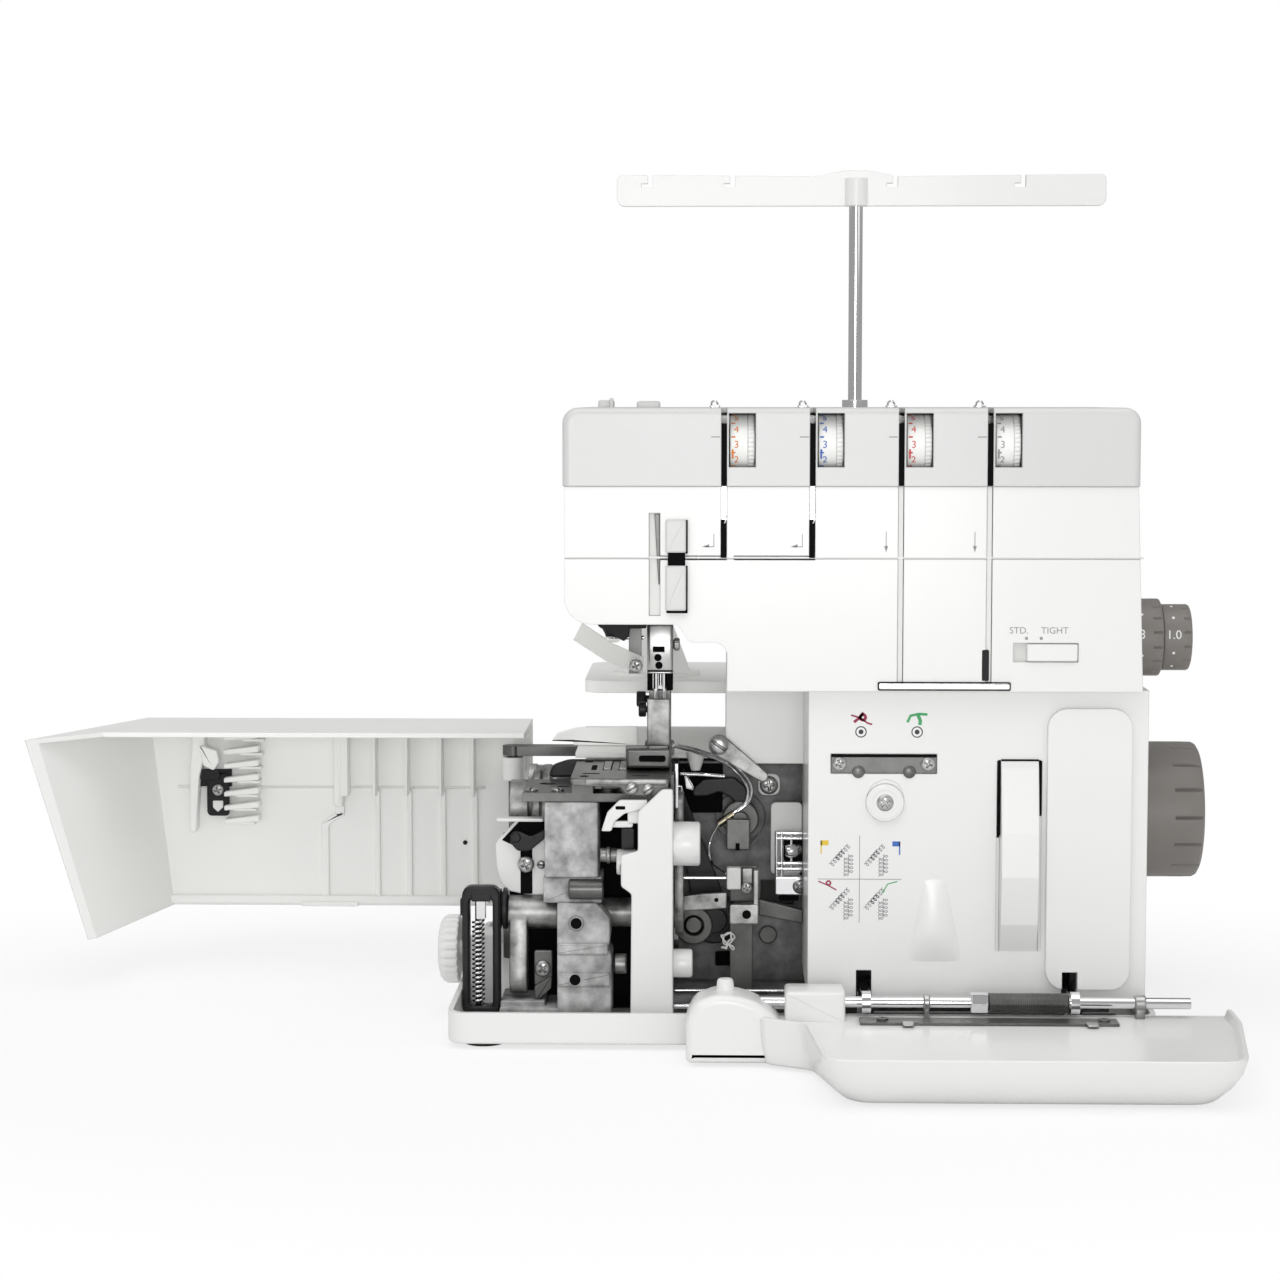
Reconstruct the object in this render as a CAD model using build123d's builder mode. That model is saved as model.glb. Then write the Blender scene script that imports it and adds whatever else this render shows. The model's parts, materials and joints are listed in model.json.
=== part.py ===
from build123d import *

import os

# Overlock machine (serger) with its two covers open, as separate pieces.
# Frame: X to the right, Y to the back, Z up, in millimetres. X = 0 is the middle of the arm, Y = 0 the
# front of the tray and arm, Z = 0 the table. Spans are (low, high) pairs.

os.makedirs("parts", exist_ok=True)

# ---------------------------------------------------------------- driving dimensions
wall = 2.5  # moulded covers
running_gap = 0.05  # radial gap of a shaft in its bush
free_gap = 0.4  # gap round a piece that moves past another
screw_head = 3.2  # radius of the larger screw heads

# base
foot_height = 2.5
foot_radius = 9.0
foot_inset = 16.0
tray_x = (-182.0, 140.0)
tray_y = (0.0, 236.0)
tray_height = 14.5
tray_corner = 9.0

# arm
arm_x = (-128.0, 128.0)
arm_y = (0.0, 128.0)
arm_bottom = 164.0
head_bottom = 194.0
chin_bottom = 186.0
chin_left = -72.0
neck_x = -55.0
arm_flare = 3.0
head_corner = 12.0
band_bottom = 256.0
arm_top = 291.0
band_corner = 7.0
step_depth = 0.8
step_z = 224.0

# tension units
slot_pitch = 39.5
first_slot = -56.5
slot_width = 2.6
dial_offset = 8.1
dial_radius = 13.5
dial_width = 11.0
dial_centre = (14.1, 274.5)  # Y, Z
window_z = (264.5, 288.5)
stud_radius = 2.0
disc_radius = 10.0
disc_thickness = 1.0

# needle and presser
needle_x = -86.5
needle_y = 80.0
needle_bar_radius = 3.5
needle_bar_z = (176.0, 280.0)
clamp_z = (165.0, 188.0)
clamp_width = 12.4
clamp_depth = 11.0
needle_radius = 0.8
needle_spacing = 4.0
needle_tip = 136.0
presser_y = 93.0
presser_bar_radius = 3.0
lamp_x = (-114.0, -101.5)
lamp_y = (58.5, 81.5)
lamp_height = 16.0

# bed
plate_x = (-127.0, -81.0)
plate_y = (30.0, 100.0)
plate_top = 120.5
plate_thickness = 2.5
bed_x = (-128.0, -18.0)
bed_top = 124.0
foot_lift_gap = 0.4

# lower body
housing_x = (-18.0, 135.0)
housing_y = (8.0, 215.0)
housing_bottom = 22.0
shelf_top = 150.0
column_y = 80.0
frame_base = 8.0
frame_front = 100.0
frame_wall = 8.0
frame_top = 120.0

# drive
shaft_yz = (140.0, 92.0)
shaft_radius = 6.0
bush_radius = 10.0
wheel_radius = 33.5
wheel_x = (137.5, 178.0)
pulley_x = (98.0, 108.0)
belt_width = 6.0
belt_thickness = 2.2
shaft_groove = 27.0
motor_groove = 9.0
motor_yz = (178.0, 46.0)
motor_radius = 25.0
motor_x = (20.0, 90.0)
motor_shaft_radius = 4.0
crank_throw = 12.0

# side dials on the arm
side_dial_yz = (110.0, 180.0)
feed_dial_radius = 18.7
feed_dial_x = (131.5, 157.0)
length_dial_radius = 16.0
length_dial_x = (157.4, 169.5)
feed_stem_radius = 6.0
length_stem_radius = 4.0

# loopers and knife
lower_looper_xz = (-60.7, 45.0)
lower_looper_shaft = 6.5
upper_looper_xz = (-48.0, 93.0)
upper_looper_shaft = 4.0
knife_yz = (60.0, 53.0)
knife_shaft_radius = 7.0
casting_y = (42.0, 78.0)

# side cover, hinged on an upright pin at the rear left
side_hinge = (-165.0, 197.0)
side_pin_radius = 2.5
cover_bottom = 26.0
cover_top = 126.0
cover_left = -200.0
cover_right = -95.0

# front cover, hinged on a shaft along X in front of the tray
front_hinge = (-14.0, 26.0)
front_shaft_radius = 2.5
front_shaft_x = (-4.0, 152.0)
knuckle_radius = 5.0
front_cover_z = (1.5, 23.0)
liner_z = (17.0, 19.5)

# spool stand and thread pole
stand_y = (131.0, 236.0)
stand_thickness = 6.0
spool_pin_radius = 3.0
spool_root_radius = 3.4
holder_height = 24.0
cushion_height = 2.0
spool_pin_height = 58.0
spool_pitch = 60.0
pole_xy = (11.0, 200.0)
pole_radius = 3.5
pole_tube_wall = 1.5
collar_top = 294.5
guide_bar_z = (393.0, 411.0)
guide_bar_x = (-111.0, 138.0)

# ---------------------------------------------------------------- values worked out from them
tray_floor = foot_height + wall
tray_rim = foot_height + tray_height
frame_floor = tray_floor + frame_base
slots = [first_slot + slot_pitch * n for n in range(4)]
dial_spots = [slot + dial_offset for slot in slots]
stand_top = shelf_top + stand_thickness
cushion_top = stand_top + cushion_height
holder_top = cushion_top + holder_height
belt_x = (
    (pulley_x[0] + pulley_x[1] - belt_width) / 2,
    (pulley_x[0] + pulley_x[1] + belt_width) / 2,
)
tube_radius = pole_radius + running_gap + pole_tube_wall
clamp_x = (needle_x - clamp_width / 2, needle_x + clamp_width / 2)
plate_bottom = plate_top - plate_thickness


# ---------------------------------------------------------------- helpers
def facing(y):
    """Plane at depth y seen from the front: local axes X and Z, extruding towards the front."""
    return Plane.XZ.offset(-y)


def across(x):
    """Plane at x seen from the right: local axes Y and Z, extruding to the right."""
    return Plane.YZ.offset(x)


def level(z):
    """Plane at height z: local axes X and Y, extruding upwards."""
    return Plane.XY.offset(z)


def block(x, y, z, mode=Mode.ADD):
    """A box from its three spans."""
    with Locations(((x[0] + x[1]) / 2, (y[0] + y[1]) / 2, (z[0] + z[1]) / 2)):
        Box(x[1] - x[0], y[1] - y[0], z[1] - z[0], mode=mode)


def rod(axis, span, centre, radius, mode=Mode.ADD):
    """A cylinder along an axis; centre holds its other two coordinates in the order of X, Y, Z."""
    middle = (span[0] + span[1]) / 2
    spots = {
        "X": (middle, centre[0], centre[1]),
        "Y": (centre[0], middle, centre[1]),
        "Z": (centre[0], centre[1], middle),
    }
    turns = {"X": (0, 90, 0), "Y": (90, 0, 0), "Z": (0, 0, 0)}
    with Locations(spots[axis]):
        Cylinder(radius, span[1] - span[0], rotation=turns[axis], mode=mode)


def slab(plane, points, amount, mode=Mode.ADD):
    """A plate from a polygon drawn on a plane."""
    with BuildSketch(plane) as outline:
        with BuildLine():
            Polyline(*points, close=True)
        make_face()
    extrude(outline.sketch, amount=amount, mode=mode)


def link(plane, ends, radii, amount, mode=Mode.ADD):
    """A lever plate: the hull of two circles."""
    with BuildSketch(plane) as outline:
        for end, radius in zip(ends, radii):
            with Locations(end):
                Circle(radius)
        make_hull()
    extrude(outline.sketch, amount=amount, mode=mode)


def cross_screws(spots, axis, seat, radius=screw_head, height=1.6):
    """Pan-head screws with a cross recess: heads that stand up from seat along an axis (-Y, Z, -X)."""
    slot = radius * 0.28
    for a, b in spots:
        if axis == "-Y":
            rod("Y", (seat - height, seat), (a, b), radius)
            block((a - slot / 2, a + slot / 2), (seat - height, seat - height / 2),
                  (b - radius * 0.6, b + radius * 0.6), Mode.SUBTRACT)
            block((a - radius * 0.6, a + radius * 0.6), (seat - height, seat - height / 2),
                  (b - slot / 2, b + slot / 2), Mode.SUBTRACT)
        elif axis == "Z":
            rod("Z", (seat, seat + height), (a, b), radius)
            block((a - slot / 2, a + slot / 2), (b - radius * 0.6, b + radius * 0.6),
                  (seat + height / 2, seat + height), Mode.SUBTRACT)
            block((a - radius * 0.6, a + radius * 0.6), (b - slot / 2, b + slot / 2),
                  (seat + height / 2, seat + height), Mode.SUBTRACT)


def write(piece, label):
    """Label a finished piece and export it."""
    piece.part.label = label
    export_step(piece.part, f"parts/{label}.step")


def write_group(label, *pieces):
    """Export finished pieces as one node, each still its own solid."""
    group = Compound([solid for piece in pieces for solid in piece.part.solids()])
    group.label = label
    export_step(group, f"parts/{label}.step")


def arm_outline(inset):
    """Closed front outline of the arm below its band, inset by a wall except along the open top."""
    FilletPolyline(
        (arm_x[1] - inset, band_bottom),
        (arm_x[0] + inset, band_bottom),
        (arm_x[0] + inset, head_bottom + inset),
        (chin_left - 5 + inset / 2, head_bottom + inset),
        (chin_left + inset / 2, chin_bottom + inset),
        (neck_x + inset, chin_bottom + inset),
        (neck_x + inset, arm_bottom + inset),
        (arm_x[1] + arm_flare - inset, arm_bottom + inset),
        radius=(0, 0, head_corner - inset, 4.0, 4.0, 6.0 - inset, 0, 0),
        close=True,
    )


# ---------------------------------------------------------------- base
with BuildPart() as base_tray:
    tray_middle = ((tray_x[0] + tray_x[1]) / 2, (tray_y[0] + tray_y[1]) / 2)
    tray_size = (tray_x[1] - tray_x[0], tray_y[1] - tray_y[0])
    with BuildSketch(level(foot_height)):
        with Locations(tray_middle):
            RectangleRounded(tray_size[0], tray_size[1], tray_corner)
    extrude(amount=tray_height)
    fillet(base_tray.faces().sort_by(Axis.Z)[0].edges(), 1.5)
    with BuildSketch(level(tray_floor)):
        with Locations(tray_middle):
            RectangleRounded(tray_size[0] - 2 * wall, tray_size[1] - 2 * wall, tray_corner - wall)
    extrude(amount=tray_height, mode=Mode.SUBTRACT)
write(base_tray, "base_tray")

with BuildPart() as rubber_feet:
    feet_x = (tray_x[0] + foot_inset, tray_x[1] - foot_inset)
    feet_y = (tray_y[0] + foot_inset, tray_y[1] - foot_inset)
    for foot_x in feet_x:
        for foot_y in feet_y:
            rod("Z", (0, foot_height), (foot_x, foot_y), foot_radius)
write(rubber_feet, "rubber_feet")

# ---------------------------------------------------------------- cast frame
web_thickness = 6.0
web_starts = (-100.0, -18.0 + wall, 112.0)
webs = [(start, start + web_thickness) for start in web_starts]
frame_y = (60.0, 205.0)
window_wall_x = (-78.0, webs[1][0])

with BuildPart() as cast_frame:
    block((webs[0][0], webs[2][1] + 8), frame_y, (tray_floor, frame_floor))
    block(window_wall_x, (frame_front, frame_front + frame_wall), (frame_floor, frame_top))
    block(webs[0], (frame_front, frame_y[1]), (frame_floor, frame_top))
    for web in webs[1:]:
        block(web, (frame_front, frame_y[1]), (frame_floor, frame_top))
    for web in webs:
        rod("X", (web[0] - 3, web[1] + 3), shaft_yz, bush_radius + 5)
    for web in webs:
        rod("X", (web[0] - 3, web[1] + 3), shaft_yz, bush_radius, Mode.SUBTRACT)
    rod("Y", (frame_front - 1, frame_front), upper_looper_xz, 12)
    rod("Y", (frame_front - 1, frame_front), lower_looper_xz, 14)
    rod("Y", (frame_front - 1, frame_front + frame_wall), upper_looper_xz,
        upper_looper_shaft + running_gap, Mode.SUBTRACT)
    rod("Y", (frame_front - 1, frame_front + frame_wall), lower_looper_xz,
        lower_looper_shaft + running_gap, Mode.SUBTRACT)
    block((-38.0, -22.0), (frame_front, frame_front + frame_wall), (50.0, 62.0), Mode.SUBTRACT)
write(cast_frame, "cast_frame")

column_x = (0.0, 60.0)
column_yy = (frame_front + frame_wall + 2, 126.0)
beam_y = (88.0, 122.0)
beam_z = (236.0, 262.0)
bar_block_x = (needle_x - 11, needle_x + 11)
bar_block_y = (needle_y - 9, presser_y + 9)
guide_z = (202.0, 212.0)
rock_yz = (112.0, 226.0)
rock_radius = 5.0
rock_x = (-74.0, 56.0)

with BuildPart() as arm_casting:
    block((column_x[0], column_x[1]), column_yy, (frame_floor, beam_z[0]))
    block((bar_block_x[0], column_x[1]), beam_y, beam_z)
    block(bar_block_x, bar_block_y, beam_z)
    block(bar_block_x, bar_block_y, guide_z)
    block(bar_block_x, (bar_block_y[1] - 4, bar_block_y[1]), (guide_z[1], beam_z[0]))
    block((-68.0, -60.0), (rock_yz[0] - 9, rock_yz[0] + 9), (rock_yz[1] - 9, beam_z[0]))
    for bore, radius in ((needle_y, needle_bar_radius), (presser_y, presser_bar_radius)):
        rod("Z", (guide_z[0], beam_z[1]), (needle_x, bore), radius + running_gap, Mode.SUBTRACT)
    rod("X", (rock_x[0], rock_x[1] + 1), rock_yz, rock_radius + running_gap, Mode.SUBTRACT)
write(arm_casting, "arm_casting")

# ---------------------------------------------------------------- main drive
with BuildPart() as main_shaft:
    rod("X", (-162.0, 168.0), shaft_yz, shaft_radius)

with BuildPart() as shaft_bushes:
    for web in webs:
        rod("X", (web[0] - 3, web[1] + 3), shaft_yz, bush_radius)
        rod("X", (web[0] - 3, web[1] + 3), shaft_yz, shaft_radius + running_gap, Mode.SUBTRACT)

crank_pin_yz = (shaft_yz[0], shaft_yz[1] + crank_throw)
with BuildPart() as crank_disc:
    rod("X", (-162.0, -153.0), shaft_yz, 13.5)
    link(across(-153.0), (shaft_yz, crank_pin_yz), (11.0, 9.5), 4.0)
    rod("X", (-149.0, -139.0), crank_pin_yz, 9.0)
    rod("X", (-162.0, -139.0), shaft_yz, shaft_radius, Mode.SUBTRACT)

with BuildPart() as shaft_pulley:
    rod("X", pulley_x, shaft_yz, shaft_groove + belt_thickness + 1.5)
    with BuildSketch(across(belt_x[0] - free_gap)) as groove_ring:
        with Locations(shaft_yz):
            Circle(shaft_groove + belt_thickness + 2)
            Circle(shaft_groove, mode=Mode.SUBTRACT)
    extrude(amount=belt_width + 2 * free_gap, mode=Mode.SUBTRACT)
    rod("X", pulley_x, shaft_yz, shaft_radius, Mode.SUBTRACT)
write_group("main_shaft", main_shaft, crank_disc, shaft_pulley)

with BuildPart() as motor_pulley:
    rod("X", pulley_x, motor_yz, motor_groove + belt_thickness + 1.5)
    with BuildSketch(across(belt_x[0] - free_gap)) as small_ring:
        with Locations(motor_yz):
            Circle(motor_groove + belt_thickness + 2)
            Circle(motor_groove, mode=Mode.SUBTRACT)
    extrude(amount=belt_width + 2 * free_gap, mode=Mode.SUBTRACT)
    rod("X", (motor_x[0] + 30, pulley_x[0]), motor_yz, motor_shaft_radius)
write(motor_pulley, "motor_pulley")

with BuildPart() as drive_belt:
    inner = (shaft_groove + 0.3, motor_groove + 0.3)
    outer = (inner[0] + belt_thickness, inner[1] + belt_thickness)
    link(across(belt_x[0]), (shaft_yz, motor_yz), outer, belt_width)
    link(across(belt_x[0]), (shaft_yz, motor_yz), inner, belt_width, Mode.SUBTRACT)
write(drive_belt, "drive_belt")

with BuildPart() as drive_motor:
    rod("X", motor_x, motor_yz, motor_radius)
    block((motor_x[0] + 12, motor_x[1] - 12), (motor_yz[0] - 18, motor_yz[0] + 18),
          (frame_floor, motor_yz[1] - 10))
    rod("X", (motor_x[0] + 30, motor_x[1]), motor_yz, motor_shaft_radius + running_gap, Mode.SUBTRACT)
write(drive_motor, "drive_motor")

wheel_grip_x = wheel_x[1] - 17.0
with BuildPart() as handwheel:
    rod("X", wheel_x, shaft_yz, wheel_radius)
    fillet(handwheel.faces().sort_by(Axis.X)[-1].edges(), 2.0)
    fillet(handwheel.faces().sort_by(Axis.X)[0].edges(), 1.5)
    rod("X", (wheel_x[0], 168.0), shaft_yz, shaft_radius, Mode.SUBTRACT)
    rod("X", (wheel_x[1] - 1.5, wheel_x[1]), shaft_yz, wheel_radius - 9, Mode.SUBTRACT)
    with BuildSketch(across(wheel_grip_x)) as grip_notches:
        with Locations(shaft_yz):
            with PolarLocations(wheel_radius, 36):
                Rectangle(1.6, 2.0)
    extrude(amount=wheel_x[1] - wheel_grip_x, mode=Mode.SUBTRACT)
write(handwheel, "handwheel")

with BuildPart() as needle_rock_shaft:
    rod("X", rock_x, rock_yz, rock_radius)
    link(across(rock_x[0]), (rock_yz, (needle_y + 8, rock_yz[1])), (9.0, 5.0), 5.0)
write(needle_rock_shaft, "needle_rock_shaft")

# ---------------------------------------------------------------- arm covers
with BuildPart() as arm_shell:
    with BuildSketch(facing(arm_y[1])):
        with BuildLine():
            arm_outline(0)
        make_face()
    extrude(amount=arm_y[1] - arm_y[0])
    with BuildSketch(facing(arm_y[1])):
        with BuildLine():
            arm_outline(wall)
        make_face()
    extrude(amount=arm_y[1] - arm_y[0] - wall, mode=Mode.SUBTRACT)
    # band step across the front
    block((arm_x[0], arm_x[1] + arm_flare), (arm_y[0], arm_y[0] + step_depth),
          (step_z - 0.6, step_z), Mode.SUBTRACT)
    # thread slots: two short ones for the needles, two long ones for the loopers
    for slot in slots[:2]:
        block((slot - slot_width / 2, slot + slot_width / 2), (arm_y[0], arm_y[0] + wall),
              (step_z, band_bottom), Mode.SUBTRACT)
        block((slot - 31.0 * (slot == slots[0]) - 35.0 * (slot != slots[0]), slot + slot_width / 2),
              (arm_y[0], arm_y[0] + wall), (step_z - 1.0, step_z + 1.0), Mode.SUBTRACT)
    for slot in slots[2:]:
        block((slot - slot_width / 2, slot + slot_width / 2), (arm_y[0], arm_y[0] + wall),
              (arm_bottom + 4, band_bottom), Mode.SUBTRACT)
    # slot of the needle thread take-up
    block((-90.0, -85.0), (arm_y[0], arm_y[0] + wall), (head_bottom + 4, 244.0), Mode.SUBTRACT)
    # window of the tension slider
    block((73.0, 102.0), (arm_y[0], arm_y[0] + wall), (177.5, 186.0), Mode.SUBTRACT)
    # openings in the underside for the needle bar, lamp and column
    block((needle_x - 13, needle_x + 11), (needle_y - 10, presser_y + 8),
          (chin_bottom, head_bottom + wall + 1), Mode.SUBTRACT)
    block((lamp_x[0] - free_gap, lamp_x[1] + free_gap), (lamp_y[0] - free_gap, lamp_y[1] + free_gap),
          (head_bottom - 1, head_bottom + wall + 1), Mode.SUBTRACT)
    block((column_x[0] - 3, column_x[1] + 3), (column_yy[0] - 2, arm_y[1]),
          (arm_bottom - 1, arm_bottom + wall + 1), Mode.SUBTRACT)
    # bore for the side dial bush
    rod("X", (arm_x[1] - 3, arm_x[1] + 4), side_dial_yz, 9.0, Mode.SUBTRACT)
write(arm_shell, "arm_shell")

with BuildPart() as top_cover:
    block((arm_x[0] - 0.8, arm_x[1] + 0.8), (arm_y[0] - 0.8, arm_y[1]), (band_bottom, arm_top))
    fillet(top_cover.edges().filter_by(Axis.Y).group_by(Axis.Z)[-1], band_corner)
    fillet(top_cover.edges().group_by(Axis.Y)[0].group_by(Axis.Z)[-1], 3.0)
    block((arm_x[0] + wall, arm_x[1] - wall), (arm_y[0] + wall, arm_y[1]),
          (band_bottom, arm_top - wall), Mode.SUBTRACT)
    for slot, spot in zip(slots, dial_spots):
        block((slot - slot_width / 2, slot + slot_width / 2), (arm_y[0] - 1, arm_y[0] + 34),
              (band_bottom, arm_top), Mode.SUBTRACT)
        block((spot - dial_width / 2 - 0.5, spot + dial_width / 2 + 0.5), (arm_y[0] - 1, arm_y[0] + wall),
              window_z, Mode.SUBTRACT)
write(top_cover, "top_cover")

with BuildPart() as arm_rear_cover:
    slab(facing(arm_y[1] + wall), (
        (arm_x[0], arm_top - 2), (arm_x[0], head_bottom + 16), (arm_x[0] + 16, head_bottom),
        (chin_left, head_bottom), (neck_x, chin_bottom), (neck_x, arm_bottom),
        (arm_x[1], arm_bottom), (arm_x[1], arm_top - 2)), wall)
    block((needle_x - 6, needle_x + 6), (arm_y[1], arm_y[1] + wall), (199.0, 224.0), Mode.SUBTRACT)

with BuildPart() as takeup_plates:
    for low, high in ((229.0, 244.0), (202.0, 225.0)):
        block((-84.5, -75.5), (arm_y[0] - 3.0, arm_y[0]), (low, high))
    fillet(takeup_plates.edges().filter_by(Axis.Z).group_by(Axis.Y)[0], 1.0)

with BuildPart() as channel_end_guide:
    block((slots[2] - 9.5, slots[3] + 9.5), (arm_y[0] - 1.6, arm_y[0]), (arm_bottom + 1.0, arm_bottom + 4.0))

with BuildPart() as thread_guides:
    for slot in slots:
        block((slot - 6.5, slot - 1.8), (arm_y[0] + 5, arm_y[0] + 16), (arm_top, arm_top + 1.2))
        block((slot - 6.5, slot - 5.5), (arm_y[0] + 5, arm_y[0] + 8), (arm_top, arm_top + 3.0))
    for spot in (-110.0, -103.0):
        block((spot - 1.5, spot + 1.5), (arm_y[0] + 6, arm_y[0] + 12), (arm_top, arm_top + 3.0))
write_group("arm_thread_guides", takeup_plates, channel_end_guide, thread_guides)

# ---------------------------------------------------------------- tension units
ear = (-9.0, -7.0)
with BuildPart() as tension_bracket:
    back_plate = dial_centre[0] + dial_radius + 0.8
    block((slots[0] - 14, slots[3] + 22), (back_plate, back_plate + wall), (band_bottom, arm_top - wall - 1))
    for slot in slots:
        block((slot + ear[0], slot + ear[1]), (dial_centre[0] - 6, back_plate),
              (dial_centre[1] - 8, dial_centre[1] + 8))
        rod("X", (slot + ear[0], slot + ear[1]), dial_centre, stud_radius, Mode.SUBTRACT)

with BuildPart() as tension_studs:
    for slot in slots:
        rod("X", (slot + ear[0], slot + dial_offset + dial_width / 2), dial_centre, stud_radius)

with BuildPart() as tension_discs:
    for slot in slots:
        for low in (-2.2, 1.2):
            rod("X", (slot + low, slot + low + disc_thickness), dial_centre, disc_radius)
            rod("X", (slot + low, slot + low + disc_thickness), dial_centre,
                stud_radius + 0.2, Mode.SUBTRACT)

with BuildPart() as tension_springs:
    for slot in slots:
        for turn in range(4):
            start = slot + ear[1] + turn * 1.2
            rod("X", (start, start + 0.8), dial_centre, 4.6)
        rod("X", (slot + ear[1], slot - 2.2), dial_centre, 3.8)
        rod("X", (slot + ear[1], slot - 2.2), dial_centre, stud_radius + 0.2, Mode.SUBTRACT)
write_group("tension_units", tension_bracket, tension_studs, tension_discs, tension_springs)

for number, spot in enumerate(dial_spots, start=1):
    with BuildPart() as tension_dial:
        rod("X", (spot - dial_width / 2, spot + dial_width / 2), dial_centre, dial_radius)
        rod("X", (spot - dial_width / 2, spot + dial_width / 2), dial_centre,
            stud_radius + running_gap, Mode.SUBTRACT)
        with BuildSketch(across(spot + dial_width / 2 - 2.5)) as dial_grip:
            with Locations(dial_centre):
                with PolarLocations(dial_radius, 30):
                    Rectangle(0.8, 1.0)
        extrude(amount=2.5, mode=Mode.SUBTRACT)
    write(tension_dial, f"tension_dial_{number}")

slider_x = (79.0, 101.6)
slider_z = (177.9, 185.6)
with BuildPart() as tension_slider:
    block(slider_x, (arm_y[0] - 1.4, arm_y[0] + wall + 0.4), slider_z)
    block((slider_x[0] - 1, slider_x[1] + 6), (arm_y[0] + wall + 0.4, arm_y[0] + wall + 2.0),
          (slider_z[0] - 3, slider_z[1] + 3))
write(tension_slider, "tension_slider")

# ---------------------------------------------------------------- side dials
with BuildPart() as dial_bush:
    rod("X", (118.0, feed_dial_x[0] - 0.5), side_dial_yz, 9.0)
    rod("X", (118.0, feed_dial_x[0] - 0.5), side_dial_yz, feed_stem_radius + running_gap, Mode.SUBTRACT)
write_group("shaft_bushes", shaft_bushes, dial_bush)

with BuildPart() as differential_feed_dial:
    rod("X", feed_dial_x, side_dial_yz, feed_dial_radius)
    fillet(differential_feed_dial.edges(), 1.0)
    rod("X", (112.0, feed_dial_x[0]), side_dial_yz, feed_stem_radius)
    rod("X", (112.0, feed_dial_x[1]), side_dial_yz, length_stem_radius + running_gap, Mode.SUBTRACT)
    with BuildSketch(across(feed_dial_x[1] - 8.0)) as feed_grip:
        with Locations(side_dial_yz):
            with PolarLocations(feed_dial_radius, 40):
                Rectangle(1.0, 1.2)
    extrude(amount=8.0, mode=Mode.SUBTRACT)
write(differential_feed_dial, "differential_feed_dial")

with BuildPart() as stitch_length_dial:
    rod("X", length_dial_x, side_dial_yz, length_dial_radius)
    fillet(stitch_length_dial.edges(), 1.0)
    rod("X", (104.0, length_dial_x[0]), side_dial_yz, length_stem_radius)
    with BuildSketch(across(length_dial_x[1] - 4.0)) as length_grip:
        with Locations(side_dial_yz):
            with PolarLocations(length_dial_radius, 36):
                Rectangle(1.0, 1.2)
    extrude(amount=4.0, mode=Mode.SUBTRACT)
write(stitch_length_dial, "stitch_length_dial")

# ---------------------------------------------------------------- lower covers
tool_plate_x = (-8.0, 40.0)
tool_plate_z = (126.0, 135.0)
tongue_x = (68.5, 86.0)
tongue_z = (45.0, 132.0)
arm_slot = 5.0
hinge_arm_x = [(5.5, 9.5), (98.5, 102.5)]
socket_y = (180.0, 208.0)
socket_z = (24.0, 48.0)
switch_z = (52.0, 70.0)

with BuildPart() as lower_front_panel:
    block(housing_x, (housing_y[0], housing_y[0] + wall), (housing_bottom, arm_bottom))
    block((housing_x[1] - wall, housing_x[1]), (housing_y[0], housing_y[1] - wall),
          (housing_bottom, arm_bottom))
    block((housing_x[0], housing_x[0] + wall), (housing_y[0], frame_front), (housing_bottom, arm_bottom))
    with BuildSketch(facing(housing_y[0])) as raised_field:
        with Locations((108.5, 92.0)):
            RectangleRounded(38.0, 128.0, 9.0)
    extrude(amount=3.0)
    block(tool_plate_x, (housing_y[0], housing_y[0] + 1.2), tool_plate_z, Mode.SUBTRACT)
    for side in (tongue_x[0] - 1.4, tongue_x[1]):
        block((side, side + 1.4), (housing_y[0], housing_y[0] + wall), tongue_z, Mode.SUBTRACT)
    for arm in hinge_arm_x:
        block((arm[0] - 1.5, arm[1] + 1.5), (housing_y[0] - 4, housing_y[0] + wall),
              (housing_bottom, 36.0), Mode.SUBTRACT)
    rod("X", (housing_x[1] - wall, housing_x[1]), shaft_yz, shaft_radius + 2, Mode.SUBTRACT)
    rod("X", (housing_x[1] - wall, housing_x[1]), side_dial_yz, feed_dial_radius + 0.8, Mode.SUBTRACT)
    block((housing_x[1] - wall, housing_x[1]), socket_y, socket_z, Mode.SUBTRACT)
    block((housing_x[1] - wall, housing_x[1]), (socket_y[0] + 6, socket_y[1] - 6), switch_z, Mode.SUBTRACT)

with BuildPart() as tool_plate:
    block(tool_plate_x, (housing_y[0] + 0.2, housing_y[0] + 1.2), tool_plate_z)

with BuildPart() as cover_tab:
    rod("Y", (housing_y[0] - 2.0, housing_y[0]), (16.6, 113.0), 8.5)

with BuildPart() as takeup_tongue:
    slab(across(tongue_x[0] + 0.3), (
        (housing_y[0], tongue_z[1] + 1), (housing_y[0] - 2.0, tongue_z[1] - 3), (housing_y[0] - 7.0, 100.0),
        (housing_y[0] - 8.0, 80.0), (housing_y[0] - 5.0, 58.0), (housing_y[0], tongue_z[0])),
        tongue_x[1] - tongue_x[0] - 0.6)
write_group("lower_front_panel", lower_front_panel, takeup_tongue, cover_tab)

with BuildPart() as rear_housing:
    back = (housing_y[1] - wall, housing_y[1])
    slab(facing(back[1]), (
        (bed_x[0], tray_rim + 1), (housing_x[1], tray_rim + 1), (housing_x[1], shelf_top),
        (neck_x, shelf_top), (neck_x, bed_top), (bed_x[0], bed_top)), wall)
    block((neck_x, housing_x[1] - wall), (stand_y[0], back[0]), (shelf_top - wall, shelf_top))
    block((neck_x, neck_x + wall), (stand_y[0], back[0]), (bed_top, shelf_top - wall))
    for row in range(6):
        block((20.0, 80.0), (back[0], back[1]), (40.0 + row * 6, 42.0 + row * 6), Mode.SUBTRACT)
write_group("rear_covers", arm_rear_cover, rear_housing)

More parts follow.
